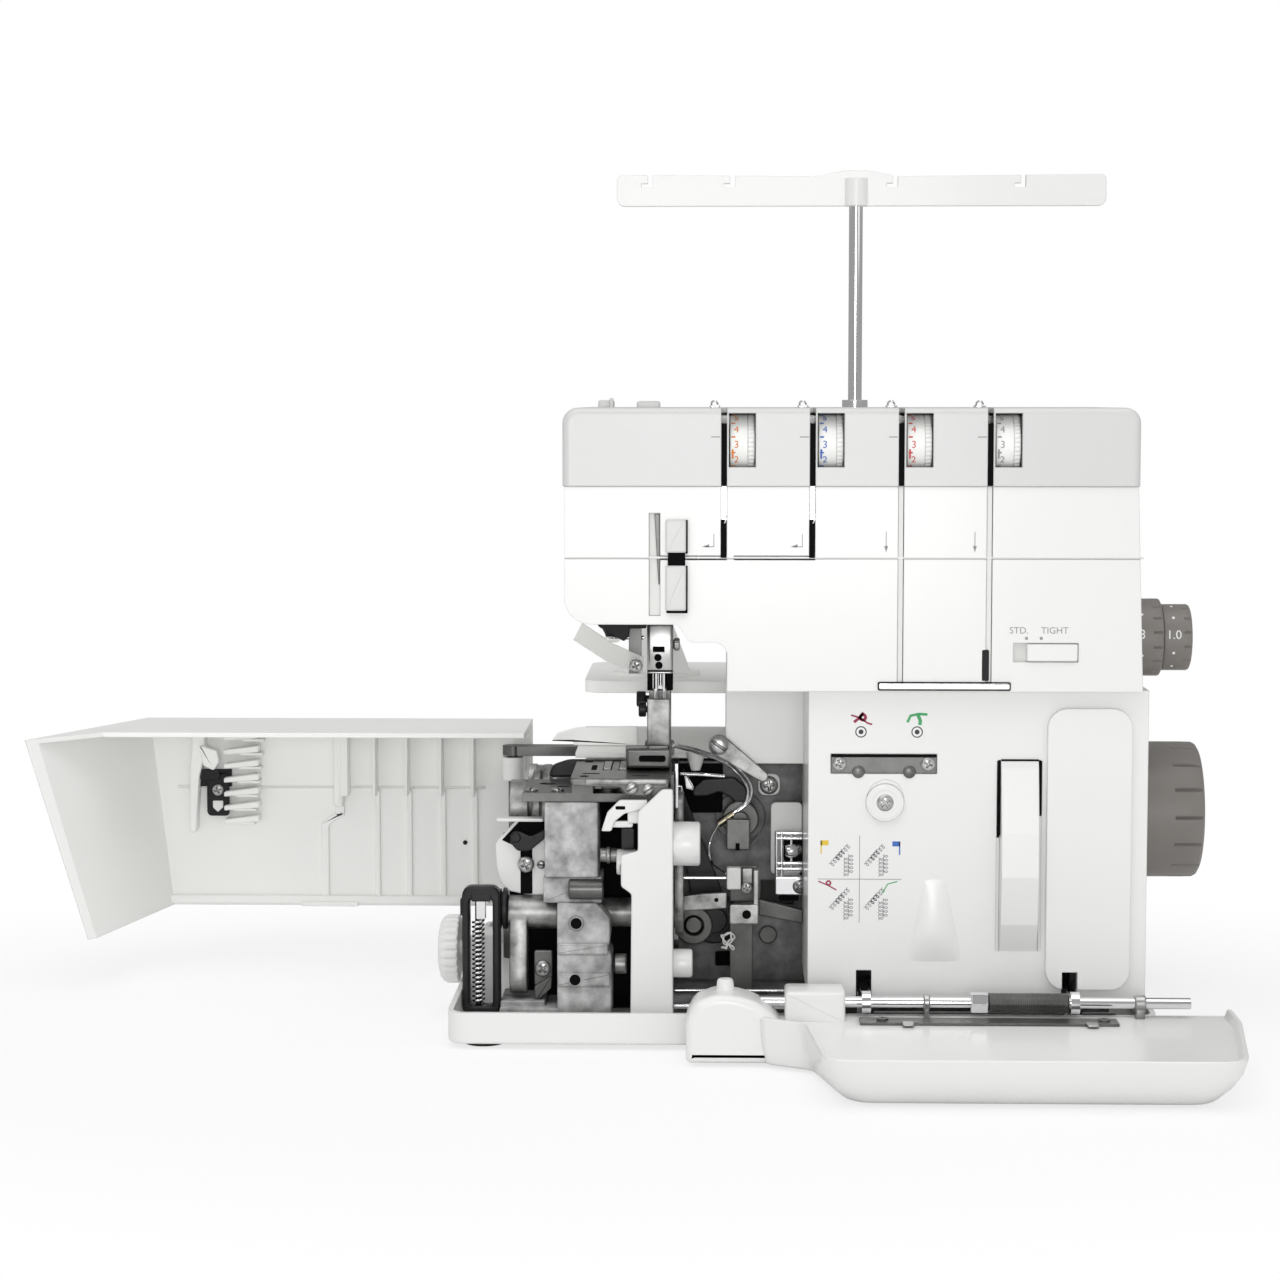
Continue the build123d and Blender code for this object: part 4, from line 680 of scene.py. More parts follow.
@dataclass
class Bench:
    """Puts finished forms into the scene, each on the body that carries it.

    Edges sharper than the crease, in degrees, stay crisp.
    """

    slots: dict[str, str]
    bodies: dict[str, str]
    crease: float = 35.0

    def on(self, node: str, name: str, forms: Form | list[Form], dress: Dress,
           replaces: bool = False) -> None:
        """Makes a piece from its forms and puts it on the body that carries a node.

        Args:
            node: the node that the piece moves with.
            name: the piece's name.
            forms: its shape in millimetres, as one form or several.
            dress: its finish.
            replaces: whether the piece stands for the node.
        """
        form = forms if isinstance(forms, Form) else Form.joined(forms)
        mesh = bpy.data.meshes.new(name)
        mesh.from_pydata((form.points * MM).tolist(), [], form.faces)
        work = bmesh.new()
        work.from_mesh(mesh)
        bmesh.ops.recalc_face_normals(work, faces=work.faces[:])
        work.to_mesh(mesh)
        work.free()
        mesh.shade_smooth()
        mesh.set_sharp_from_angle(angle=math.radians(self.crease))
        piece = bpy.data.objects.new(name, mesh)
        bpy.context.scene.collection.objects.link(piece)
        piece.data.materials.append(dress.value.material())
        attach(piece, self.bodies[node])
        if replaces:
            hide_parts(node)
        log.info("%s on %s: %d faces", name, self.bodies[node], len(mesh.polygons))


# ------------------------------------------------------------------ sub-assemblies
@dataclass
class Frame:
    """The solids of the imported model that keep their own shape."""

    nodes: dict[str, bpy.types.Object]

    def dress(self) -> None:
        """Gives every solid its finish, in each of its material slots."""
        dress_of = {name: dress for dress, names in FRAME_DRESS.items() for name in names}
        for name, node in self.nodes.items():
            if not node.material_slots:
                node.data.materials.append(None)
            for slot in node.material_slots:
                slot.material = dress_of[name].value.material()
            log.info("dressed %s", name)


def box_plate(axis: Axis, low: Pair, high: Pair, span: Pair, corner: float = 1.0, edge: float = 0.4) -> Form:
    """Makes a rounded rectangle into a plate: round corners in its face, soft edges through its depth."""
    outline = rounded([low, (high[0], low[1]), high, (low[0], high[1])], corner)
    return plate(axis, outline, span, edge)


def lever_outline(start: Pair, end: Pair, radii: Pair, steps: int = 14) -> Array:
    """Draws a lever's outline: half a circle round each end, joined by straight sides.

    Args:
        start: the middle of the first end.
        end: the middle of the second end.
        radii: the two ends' radii.
        steps: points round each end.

    Returns:
        The outline as rows of two coordinates.
    """
    first, last = np.asarray(start, dtype=float), np.asarray(end, dtype=float)
    heading = math.atan2(*(last - first)[::-1])
    lean = math.asin((radii[0] - radii[1]) / np.linalg.norm(last - first))
    back = np.linspace(heading + math.pi / 2 - lean, heading + 1.5 * math.pi + lean, steps)
    front = np.linspace(heading - math.pi / 2 + lean, heading + math.pi / 2 - lean, steps)
    return np.vstack([centre + radius * np.stack((np.cos(angle), np.sin(angle)), axis=1)
                      for centre, radius, angle in ((first, radii[0], back), (last, radii[1], front))])


def knurled(rows: int, sides: int, cut: slice, count: int, depth: float, share: float = 0.3) -> Array:
    """Gives the factors for a lathe whose rows within cut have even grooves.

    Args:
        rows: number of profile points.
        sides: points round a ring.
        cut: the grooved rows.
        count: number of grooves.
        depth: a groove's depth over the radius.
        share: a groove's share of the pitch.

    Returns:
        A factor for each row and side.
    """
    phase = (np.arange(sides) * count / sides) % 1.0
    flank = 0.06
    groove = np.clip((share / 2 - np.abs(phase - 0.5)) / flank + 0.5, 0.0, 1.0)
    factors = np.ones((rows, sides))
    factors[cut] = 1.0 - depth * groove
    return factors


def tile(x: Pair, z: Pair, y: Pair, corner: float = 1.0, edge: float = 0.4) -> Form:
    """Makes a rounded plate that faces the front, from its spans along X, Z and Y."""
    outline = rounded([(z[0], x[0]), (z[1], x[0]), (z[1], x[1]), (z[0], x[1])], corner)
    return plate(Axis.Y, outline, y, edge)


def panel(corners: list[Pair], y: Pair, radius: float = 1.5, edge: float = 0.4) -> Form:
    """Makes a plate that faces the front from corners given as X and Z."""
    return plate(Axis.Y, rounded([(z, x) for x, z in corners], radius), y, edge)


def shelf(x: Pair, y: Pair, z: Pair, corner: float = 1.0, edge: float = 0.3) -> Form:
    """Makes a rounded plate that lies flat, from its spans along X, Y and Z."""
    outline = rounded([(x[0], y[0]), (x[1], y[0]), (x[1], y[1]), (x[0], y[1])], corner)
    return plate(Axis.Z, outline, z, edge)


def bar(axis: Axis, span: Pair, centre: Pair, radius: float, edge: float = 0.3, sides: int = 48) -> Form:
    """Makes a round bar with softened ends: its radius shrinks by the edge over each last stretch."""
    low, high = span
    return lathe(axis, centre, [(low, radius * 0.05), (low, radius - edge), (low + edge, radius),
                                (high - edge, radius), (high, radius - edge), (high, radius * 0.05)], sides)


def cross(spot: Pair, y: float, radius: float = 3.0, tilt: float = 20.0,
          recess: Recess = Recess.CROSS) -> Form:
    """Makes a screw head that faces the front: X and Z of its middle, Y of its seat."""
    return screw_head(Axis.Y, (spot[1], spot[0]), y, y - radius * 0.5, radius, recess, tilt)


def ringed(outer: Array, inner: Array, span: Pair, edge: float = 0.6) -> Form:
    """Makes a frame that faces the front: its section runs from the outer outline to the inner and back.

    Args:
        outer: the outer outline, as Z and X.
        inner: the inner outline, point for point.
        span: where the frame starts and ends along Y.
        edge: how far its softened edges reach in.

    Returns:
        The closed form.
    """
    rows = [(inset_outline(outer, edge), span[0]), (outer, span[0] + edge), (outer, span[1] - edge),
            (inset_outline(outer, edge), span[1]), (inset_outline(inner, -edge), span[1]),
            (inner, span[1] - edge), (inner, span[0] + edge), (inset_outline(inner, -edge), span[0])]
    grid = np.stack([np.stack((ring[:, 1], np.full(len(ring), y), ring[:, 0]), axis=1) for ring, y in rows])
    return grid_form(grid, ring=True, loop=True)


@dataclass
class TensionDials:
    """Four numbered thumb wheels, one behind each window of the band."""

    spots: tuple[float, ...] = (-48.4, -8.9, 30.6, 70.1)
    centre: Pair = (14.1, 274.5)
    radius: float = 13.5
    half_width: float = 5.5
    step: float = 30
    inks: tuple[Dress, ...] = (Dress.INK_ORANGE, Dress.INK_BLUE, Dress.INK_RED, Dress.INK_GREY)

    def build(self, bench: Bench) -> None:
        """Makes each wheel with its numbers and marks."""
        for number, (spot, ink) in enumerate(zip(self.spots, self.inks), start=1):
            node = f"tension_dial_{number}"
            bench.on(node, f"thumb_wheel_{number}", self._wheel(spot), Dress.DIAL, True)
            bench.on(node, f"thumb_wheel_marks_{number}", self._marks(spot), ink)

    def _wheel(self, spot: float) -> Form:
        """Turns one wheel: a smooth number ring and a grooved rim beside it.

        Args:
            spot: X of the wheel's middle.

        Returns:
            The closed form.
        """
        left, right, r = spot - self.half_width, spot + self.half_width, self.radius
        profile = [(left, 4), (left, r - 1), (left + 0.3, r - 0.3), (left + 0.7, r - 0.1),
                   (right - 3.2, r - 0.1), (right - 3, r - 0.7), (right - 2.8, r), (right - 2.6, r),
                   (right - 0.5, r), (right - 0.2, r - 0.3), (right, r - 0.9), (right, 4)]
        return lathe(Axis.X, self.centre, profile, 240, knurled(len(profile), 240, slice(7, 10), 40, 0.045))

    def _marks(self, spot: float) -> Form:
        """Wraps the numbers nought to nine and the ticks between them round the ring.

        Args:
            spot: X of the wheel's middle.

        Returns:
            All its prints in one form.
        """
        marks = []
        for value in range(10):
            heading = 180 - (value - 3) * self.step
            marks.append(on_round(lettering(str(value), 4.6), Axis.X, self.centre, self.radius - 0.08,
                                  spot - 2.6, heading))
            tick = ribbon([(-0.9, 0), (0, 0), (0.9, 0)], 0.7)
            marks.append(on_round(tick, Axis.X, self.centre, self.radius - 0.08, spot - 4,
                                  heading - self.step / 2))
        pointer = ribbon([(0, -2.2), (0, 0), (0, 2.2)], 0.8)
        marks.append(on_round(pointer, Axis.X, self.centre, self.radius - 0.08, spot - 4.3, 198))
        return Form.joined(marks)


@dataclass
class SideDials:
    """The two stacked dials on the arm's right end and the width dial on the left."""

    centre: Pair = (110, 180)
    feed_x: Pair = (131.5, 154.4)
    feed_radius: float = 18.7
    length_x: Pair = (154.6, 168.4)
    length_radius: float = 16
    width_centre: Pair = (82, 31)
    width_x: Pair = (-193, -182.8)

    def build(self, bench: Bench) -> None:
        """Makes the three dials and the numbers on the stacked ones."""
        bench.on("differential_feed_dial", "feed_ratio_dial", self._feed(), Dress.KNOB, True)
        bench.on("differential_feed_dial", "feed_ratio_marks",
                 self._round_marks("3", 144, self.feed_radius, 6.4), Dress.DIAL)
        bench.on("stitch_length_dial", "length_dial_knob", self._length(), Dress.KNOB, True)
        bench.on("stitch_length_dial", "length_dial_marks",
                 self._round_marks("1.0", 159.4, self.length_radius, 6), Dress.DIAL)
        bench.on("cutting_width_dial", "width_dial_knob", self._width(), Dress.SHELL, True)
        screw = screw_head(Axis.X, self.width_centre, self.width_x[0] + 0.9, self.width_x[0], 3.4)
        bench.on("cutting_width_dial", "width_dial_screw", screw, Dress.STEEL)

    def _feed(self) -> Form:
        """Turns the larger dial: a collar, a smooth number ring and a grooved rim.

        Returns:
            The closed form.
        """
        low, high = self.feed_x
        r = self.feed_radius
        profile = [(112, 3), (112, 6), (low, 6), (low, r - 1.2), (low + 0.5, r - 0.3), (low + 1.2, r),
                   (high - 5.4, r), (high - 5, r), (high - 4.8, r), (high - 4, r), (high - 1.2, r),
                   (high - 0.5, r - 0.3), (high, r - 1.3), (high, 4.2)]
        return lathe(Axis.X, self.centre, profile, 320,
                     knurled(len(profile), 320, slice(8, 12), 16, 0.05, 0.12))

    def _length(self) -> Form:
        """Turns the smaller dial with its grooved rim and dished end.

        Returns:
            The closed form.
        """
        low, high = self.length_x
        r = self.length_radius
        profile = [(104, 0.5), (104, 3.9), (low, 3.9), (low, r - 0.8), (low + 0.5, r - 0.1), (low + 1, r),
                   (high - 4.4, r), (high - 4, r), (high - 3.6, r), (high - 3.2, r), (high - 1.2, r),
                   (high - 0.4, r - 0.4), (high, r - 1.3), (high, r - 3), (high - 0.8, r - 3.6),
                   (high - 1, 0.5)]
        return lathe(Axis.X, self.centre, profile, 280,
                     knurled(len(profile), 280, slice(8, 12), 14, 0.05, 0.13))

    def _width(self) -> Form:
        """Turns the width dial: a domed cap with grooves round its rim, on a stem.

        Returns:
            The closed form.
        """
        low, high = self.width_x
        profile = [(low + 0.9, 0.5), (low + 0.8, 4), (low + 0.2, 4.6), (low, 6), (low + 0.3, 10),
                   (low + 1.2, 13.4), (low + 2.6, 15.4), (low + 4.4, 16.4), (high - 0.6, 16.5), (high, 15.9),
                   (high, 4), (-165, 4), (-165, 0.5)]
        return lathe(Axis.X, self.width_centre, profile, 216,
                     knurled(len(profile), 216, slice(6, 9), 24, 0.05))

    def _round_marks(self, text: str, along: float, radius: float, size: float) -> Form:
        """Wraps a number with dots above and below it round a dial.

        Args:
            text: the number.
            along: X of the prints' middle.
            radius: the dial's radius.
            size: the number's height.

        Returns:
            The prints in one form.
        """
        marks = [on_round(lettering(text, size), Axis.X, self.centre, radius - 0.02, along, 172)]
        marks += [on_round(disc(0.7), Axis.X, self.centre, radius - 0.02, along, 172 + turn)
                  for turn in (-64, -32, 32, 64)]
        return Form.joined(marks)


@dataclass
class HandWheel:
    """The large wheel on the right, grooved along its outer half."""

    centre: Pair = (140, 92)
    x: Pair = (137.5, 178)
    radius: float = 33.5
    grooves: int = 15

    def build(self, bench: Bench) -> None:
        """Turns the wheel."""
        low, high = self.x
        r = self.radius
        profile = [(low, 8), (low, r - 2.4), (low + 0.6, r - 0.9), (low + 1.8, r), (high - 15.2, r),
                   (high - 14.8, r), (high - 14.2, r), (high - 8, r), (high - 2.6, r - 0.1),
                   (high - 1, r - 0.9), (high, r - 2.6), (high, r - 8), (high - 1, r - 9.2),
                   (high - 1.5, r - 11), (high - 1.5, 11), (high - 0.6, 9.5), (high - 0.4, 2)]
        form = lathe(Axis.X, self.centre, profile, 432,
                     knurled(len(profile), 432, slice(6, 9), self.grooves, 0.05, 0.09))
        bench.on("handwheel", "hand_wheel", form, Dress.KNOB, True)


@dataclass
class NeedleHead:
    """Needle bar, clamp, needles, presser foot and what hangs under the head."""

    x: float = -86.5
    y: float = 80
    foot_y: float = 93
    clamp_z: Pair = (166.4, 188)
    clamp_half: Pair = (6.2, 5.4)
    sole: float = 121.5
    lamp: Pair = (-108, 73.2)
    head_bottom: float = 194

    def build(self, bench: Bench) -> None:
        """Makes the moving needle parts, the foot and the fixed lamp parts."""
        self._needles(bench)
        self._foot(bench)
        self._under_head(bench)

    def _needles(self, bench: Bench) -> None:
        """Makes the bar, the clamp with its holes and screw, near-black fills that paint shade in the clamp's
        window, holes and groove and on its two jaws, and two needles.
        """
        node = "needle_bar"
        x = self.x
        bar = lathe(Axis.Z, (x, self.y), [(176, 0.4), (176, 3.2), (176.5, 3.5), (279.5, 3.5), (280, 3.1)])
        needles = [self._needle(x + side) for side in (-2, 2)]
        bench.on(node, "needle_rods", [bar] + needles, Dress.PLATED, True)
        half_x, half_y = self.clamp_half
        clamp = box_plate(Axis.Z, (x - half_x, self.y - half_y), (x + half_x, self.y + half_y),
                          self.clamp_z, 1.6, 0.5)
        lip = box_plate(Axis.Z, (x - half_x, self.y - half_y - 0.1), (x + half_x, self.y + half_y),
                        (165, 165.9), 1.6, 0.2)
        knob = lathe(Axis.X, (self.y, 178.5), [(x + half_x - 0.3, 0.4), (x + half_x - 0.3, 2.2),
                     (x + half_x + 0.4, 2.2), (x + half_x + 0.6, 3), (x + half_x + 2.7, 3),
                     (x + half_x + 3.1, 2.5)], 120, knurled(6, 120, slice(3, 5), 20, 0.08))
        bench.on(node, "needle_clamp", [clamp, lip, knob], Dress.STEEL)
        face = self.y - half_y
        # painted shade: near-black fills in the clamp's window, holes and groove, and on the two jaws below
        # it
        window = tile((x - 3.4, x + 2.2), (175.2, 177.9), (face - 0.08, face + 0.3), 0.3, 0.05)
        holes = [on_front(disc(1.75, 0.3), spot, face + 0.07) for spot in ((x - 1, 172.6), (x - 0.5, 168.9))]
        groove = box_plate(Axis.Z, (x - half_x + 0.2, self.y - half_y + 0.1),
                           (x + half_x - 0.2, self.y + half_y - 0.2), (165.8, 166.6), 1.4, 0.1)
        jaws = [box_plate(Axis.Z, (x + low, self.y - 4), (x + high, self.y + 3), (156.8, 165.2), 0.6, 0.3)
                for low, high in ((-6.1, -3.7), (3.1, 6.1))]
        bench.on(node, "needle_clamp_painted_shade", [window, groove] + holes + jaws, Dress.VOID)

    def _needle(self, x: float) -> Form:
        """Turns one needle: shank, blade with a scarf's waist, and point."""
        profile = [(136, 0.12), (138, 0.42), (140.5, 0.72), (143, 0.62), (145, 0.75), (156, 0.78),
                   (158, 1.05), (168, 1.05), (168.2, 0.9)]
        return lathe(Axis.Z, (x, self.y), profile, 20)

    def _foot(self, bench: Bench) -> None:
        """Makes the presser bar, shank, sole with its raised toe, and the thumb screw."""
        node = "presser_foot"
        x = self.x
        bar = lathe(Axis.Z, (x, self.foot_y), [(150, 0.4), (150, 3), (268, 3), (268, 0.4)])
        bench.on(node, "presser_rod", bar, Dress.PLATED, True)
        base = self.sole + 2.4
        shank = tile((x - 5.5, x + 5), (base, 156), (self.foot_y - 5, self.foot_y + 5), 0.8, 0.5)
        cheek = tile((x - 7.6, x + 6.6), (base, 131), (self.foot_y - 3.5, self.foot_y + 4.5), 1.5, 0.5)
        strut = tile((x - 6, x + 4.8), (base + 0.6, 153.6), (67.6, 71.4), 1.2, 0.5)
        web = [tile((x + low, x + low + 2), (base, 128), (68, self.foot_y), 0.6, 0.3) for low in (-6.6, 3.4)]
        screw = lathe(Axis.X, (self.foot_y, 151), [(x - 11.6, 0.4), (x - 11.6, 3.2), (x - 11.2, 3.7),
                      (x - 7.6, 3.7), (x - 7.2, 3.2), (x - 7.2, 1.8), (x - 5, 1.8)], 160,
                      knurled(7, 160, slice(2, 4), 22, 0.08))
        knob = lathe(Axis.X, (69.6, 148.5), [(x - 10, 0.4), (x - 10, 3), (x - 9.6, 3.6), (x - 6.8, 3.6),
                     (x - 6.4, 3), (x - 6.4, 1.6), (x - 5.6, 1.6)])
        bench.on(node, "foot_shank", [shank, cheek, strut] + web, Dress.WORN)
        bench.on(node, "foot_knobs", [screw, knob], Dress.BLACKED)
        toe = tile((x - 15.6, x + 5.4), (self.sole + 0.2, self.sole + 9.6), (57.6, 62.6), 1.6, 1.2)
        marks = [tile((x - 9.6, x + 3), (self.sole + 3.4, self.sole + 6.4), (57.2, 57.9), 1.2, 0.2)]
        bench.on(node, "foot_toe_block", toe, Dress.SMOKED)
        bench.on(node, "foot_toe_shadow", marks, Dress.VOID)
        bench.on(node, "foot_sole", self._sole(), Dress.SMOKED)

    def _sole(self) -> list[Form]:
        """Carries a flat section from heel to toe: it rises with the square of the way past the bend.

        Returns:
            The sole's parts.
        """
        way = np.linspace(100, 58.6, 60)
        rise = np.clip((68 - way) / 9.4, 0, 1) ** 2 * 8.6
        parts = []
        for low, high, first, last in ((-15.8, -5, 100, 58.6), (4.1, 5, 100, 58.6),
                                       (-5.4, 4.6, 100, 85.6), (-5.4, 4.6, 74.4, 58.6)):
            keep = (way <= first) & (way >= last - 0.01)
            y, lift = way[keep], rise[keep]
            grid = np.empty((len(y), 8, 3))
            xs = self.x + np.array([low, low, low + 0.3, high - 0.3, high, high, high - 0.3, low + 0.3])
            tops = np.array([0.3, 2, 2.4, 2.4, 2, 0.3, 0, 0])
            grid[..., 0] = xs
            grid[..., 1] = y[:, None]
            grid[..., 2] = self.sole + lift[:, None] + tops
            parts.append(grid_form(grid, ring=True, capped=True))
        return parts

    def _under_head(self, bench: Bench) -> None:
        """Makes the lamp's finned cone, its lens, the cross rod, and black plates for the bracket and for
        painted shade in the gap round the bars.
        """
        profile = [(self.head_bottom, 1), (self.head_bottom, 7.9), (191.5, 7.7), (189, 7), (186.5, 5.9),
                   (184, 4.6), (182.5, 4.2), (182.3, 3.6), (184, 3.2), (184, 0.5)]
        cone = lathe(Axis.Z, self.lamp, profile, 180, knurled(len(profile), 180, slice(2, 6), 18, 0.10, 0.45))
        bench.on("head_brackets", "lamp_cone", cone, Dress.BLACKED)
        lens = lathe(Axis.Z, self.lamp, [(179.8, 0.4), (180.1, 1.8), (181.2, 2.9), (182.6, 3.4), (184.4, 3.4),
                    (184.4, 0.5)])
        bench.on("lamp_lens", "lamp_bulb", lens, Dress.LENS)
        ring = lathe(Axis.Z, self.lamp, [(182, 3.2), (181.9, 3.9), (182.4, 4.4), (183, 4.3), (183, 3.2)])
        rod = lathe(Axis.X, (72, 182.3), [(-103.6, 0.3), (-103.6, 1), (-94.2, 1), (-94.2, 0.3)], 20)
        bench.on("head_brackets", "lamp_ring_and_rod", [ring, rod], Dress.PLATED)
        # black plates: the lamp bracket, and painted shade in the gap round the bars
        shade = [tile((-101.5, -95.5), (184, self.head_bottom), (72, 86), 1, 0.5),
                 tile((-104, -92.6), (187.4, self.head_bottom), (61.6, 70), 1, 0.5),
                 panel([(-117.4, self.head_bottom), (-115, 188.6), (-103, 181.6), (-100.6, 184.4),
                        (-100.6, self.head_bottom)], (57, 60.4), 1, 0.5)]
        bench.on("head_brackets", "lamp_bracket_and_gap_shade", shade, Dress.BLACK)
        pivot = screw_head(Axis.Y, (170, -97.5), 59.6, 58.4, 2.9, Recess.CROSS, 20)
        bench.on("head_brackets", "guard_screw", pivot, Dress.STEEL)
        front = [screw_head(Axis.Y, (z, x), 29.8, 28.2, 2.7, Recess.SLOT, 30)
                 for x, z in ((-98.5, 116), (-91, 115.4))]
        lip = panel([(-126.4, 120.3), (-126, 117.2), (-104, 116.4), (-101, 112.6), (-82, 112),
                     (-81.6, 120.3)], (29.7, 31.2), 0.8, 0.4)
        bench.on("needle_plate", "plate_front_lip", lip, Dress.SMOKED)
        bench.on("needle_plate", "plate_front_screws", front, Dress.STEEL)


@dataclass
class ThreadPaths:
    """Channels, guides and printed marks on the arm's front."""

    slots: tuple[float, ...] = (-56.5, -17, 22.5, 62)
    band_bottom: float = 256
    step: float = 224
    channel_bottom: float = 168.4
    takeup_x: Pair = (-82.6, -73.4)

    def build(self, bench: Bench) -> None:
        """Makes the channel linings in a grey that paints their shade, near-black plates that paint the shade
        in the channel gaps, metal guides, take-up plates and marks.
        """
        node = "arm_thread_guides"
        # painted shade: the linings' grey stands for the shade inside the looper channels
        linings = [tile((slot - 1.15, slot + 1), (self.channel_bottom, self.band_bottom),
                        (0.5, 2.3), 0.2, 0.1) for slot in self.slots[2:]]
        # painted shade: near-black plates in the band's slots, in the needle channels and under the looper
        # channels
        gaps = [tile((slot - 1.7, slot + 1.5), (self.band_bottom + 0.4, 284), (-0.2, 1.6), 0.2, 0.1)
                for slot in self.slots]
        gaps += [tile((slot - 1.5, slot + 1.1), (self.step, 241), (-0.15, 0.6), 0.2, 0.1)
                 for slot in self.slots[:2]]
        gaps.append(tile((self.slots[2] - 10, self.slots[3] + 10), (164.6, 168.5), (-0.6, 0.2), 0.9, 0.1))
        bench.on("arm_shell", "channel_gap_shade", gaps, Dress.VOID)
        bench.on("arm_shell", "looper_channel_lining_shade", linings, Dress.GROOVE)
        first = self.slots[0]
        fills = [tile((first - 1.3, first + 0.1), (self.step + 1, 241), (0.05, 2.2), 0.1, 0.05),
                 tile((-127.6, 130.6), (self.step - 0.35, self.step + 0.6), (0.42, 1.4), 0.1, 0.05)]
        bench.on("arm_shell", "needle_channel_fills", fills, Dress.SHELL)
        guides = [tile((slot - 1.2, slot + 1.2), (241, self.band_bottom), (0.2, 1.6), 0.3, 0.2)
                  for slot in self.slots[:2]]
        guides += [wire(smooth_path([(slot - 1, 1.4, 240.6), (slot + 0.2, 0.2, 239.6),
                            (slot + 1.1, 0.1, 242.4), (slot + 1, 1.4, 244)]), 0.4) for slot in self.slots[:2]]
        bar = tile((self.slots[2] - 9.5, self.slots[3] + 9.5), (165.2, 168), (-1.6, 0.05), 0.8, 0.4)
        combs = [piece for slot in self.slots for piece in self._top_guide(slot)]
        bench.on(node, "thread_guides", guides + [bar] + combs, Dress.PLATED, True)
        takeup = [tile(self.takeup_x, span, (-2.9, 0.1), 0.9, 0.7)
                  for span in ((226.4, 241.2), (200.4, 220.6))]
        bench.on(node, "takeup_plates", takeup, Dress.BAND)
        block = tile((self.slots[3] - 3, self.slots[3] + 0.2), (169, 183), (-0.3, 2), 0.8, 0.4)
        bench.on(node, "channel_block", block, Dress.BLACK)
        eyes = [tile((-115, -107.4), (290.4, 294.4), (56, 60), 1.4, 0.6),
                tile((-97, -86), (290.4, 294), (52, 58), 1.6, 0.8),
                tile((-109.6, -107.8), (290.4, 295.4), (54, 56.2), 0.6, 0.3)]
        bench.on("top_cover", "top_thread_eyes", eyes, Dress.BAND)
        self._takeup_shadow(bench)
        self._prints(bench)

    def _top_guide(self, slot: float) -> list[Form]:
        """Makes one bent wire guide on top of the arm with its foot.

        Args:
            slot: X of the slot beside it.

        Returns:
            The foot and the wire.
        """
        foot = box_plate(Axis.Z, (slot - 6.5, 5), (slot - 1.8, 16), (291, 292), 0.8, 0.2)
        hook = wire(smooth_path([(slot - 5.6, 14, 291.6), (slot - 5.6, 8, 293.4), (slot - 4, 6.2, 293.9),
                                 (slot - 2.8, 8, 292.6)]), 0.45, (1, 0.2, 0.3))
        return [foot, hook]

    def _takeup_shadow(self, bench: Bench) -> None:
        """Makes the painted shade in the gap and along the lower edge of the take-up plates, the groove's
        lining in a grey that paints its shade, and the lever.
        """
        x = self.takeup_x
        # painted shade: near-black strips in the gap between the plates and along their lower and right edges
        gaps = [tile((x[0] + 1, x[1] - 0.4), (220.6, 226.4), (-1.7, 0.1), 0.3, 0.2),
                tile((x[0] + 0.4, x[1] + 0.7), (199.3, 201.4), (-2.2, 0.1), 0.3, 0.2),
                tile((x[1] - 0.3, x[1] + 0.7), (199.6, 220.4), (-1.9, 0.1), 0.2, 0.2),
                tile((x[1] - 0.3, x[1] + 0.7), (226, 241), (-1.9, 0.1), 0.2, 0.2)]
        bench.on("arm_thread_guides", "takeup_gap_shade", gaps, Dress.VOID)
        # painted shade: the lining's grey stands for the shade in the take-up groove
        lining = tile((-89.9, -85.1), (198.1, 243.9), (1.6, 2.4), 0.3, 0.1)
        bench.on("arm_shell", "takeup_groove_shade", lining, Dress.GROOVE)
        blade = panel([(-87.6, 243.6), (-85.3, 243.6), (-85.2, 212), (-85.8, 212)], (0.7, 1.5), 0.25, 0.15)
        bench.on("arm_thread_guides", "takeup_blade", blade, Dress.SMOKED)

    def _prints(self, bench: Bench) -> None:
        """Prints the turn arrows, the down arrows, the dots and words of the slider."""
        marks = []
        for slot in self.slots[:2]:
            marks.append(on_front(ribbon([(0, 5.8), (0, 3), (0, 0)], 0.35), (slot - 4.5, 229), 0))
            marks.append(on_front(ribbon([(0.15, 0), (-2, 0), (-4, 0)], 0.35), (slot - 4.5, 229), 0))
            marks.append(panel([(slot - 10, 228.9), (slot - 6.6, 230.2), (slot - 6.6, 228.7)], (-0.06, 0.06),
                               0.05, 0.01))
        for slot in self.slots[2:]:
            marks.append(on_front(ribbon([(0, 3.6), (0, 0), (0, -3.6)], 0.35), (slot - 6.6, 232.2), 0))
            marks.append(panel([(slot - 7.5, 229.4), (slot - 5.7, 229.4), (slot - 6.6, 226.6)], (-0.06, 0.06),
                               0.05, 0.01))
        marks += [on_front(disc(0.75), spot, 0) for spot in ((78.8, 188.2), (85.4, 188.2))]
        marks.append(on_front(lettering("STD.", 4.2), (75.4, 191.6), 0))
        marks.append(on_front(lettering("TIGHT", 4.2), (91.4, 191.6), 0))
        bench.on("arm_shell", "arm_prints", marks, Dress.INK_GREY)
        ticks = [on_front(ribbon([(-2, 0), (0, 0), (2, 0)], 0.5), (slot - 3.8, 278), -0.8)
                 for slot in self.slots]
        line = on_front(ribbon([(-128, 0), (0, 0), (128, 0)], 0.45, 0.3), (0, self.band_bottom), 0.05)
        bench.on("top_cover", "band_marks", ticks + [line], Dress.INK_GREY)


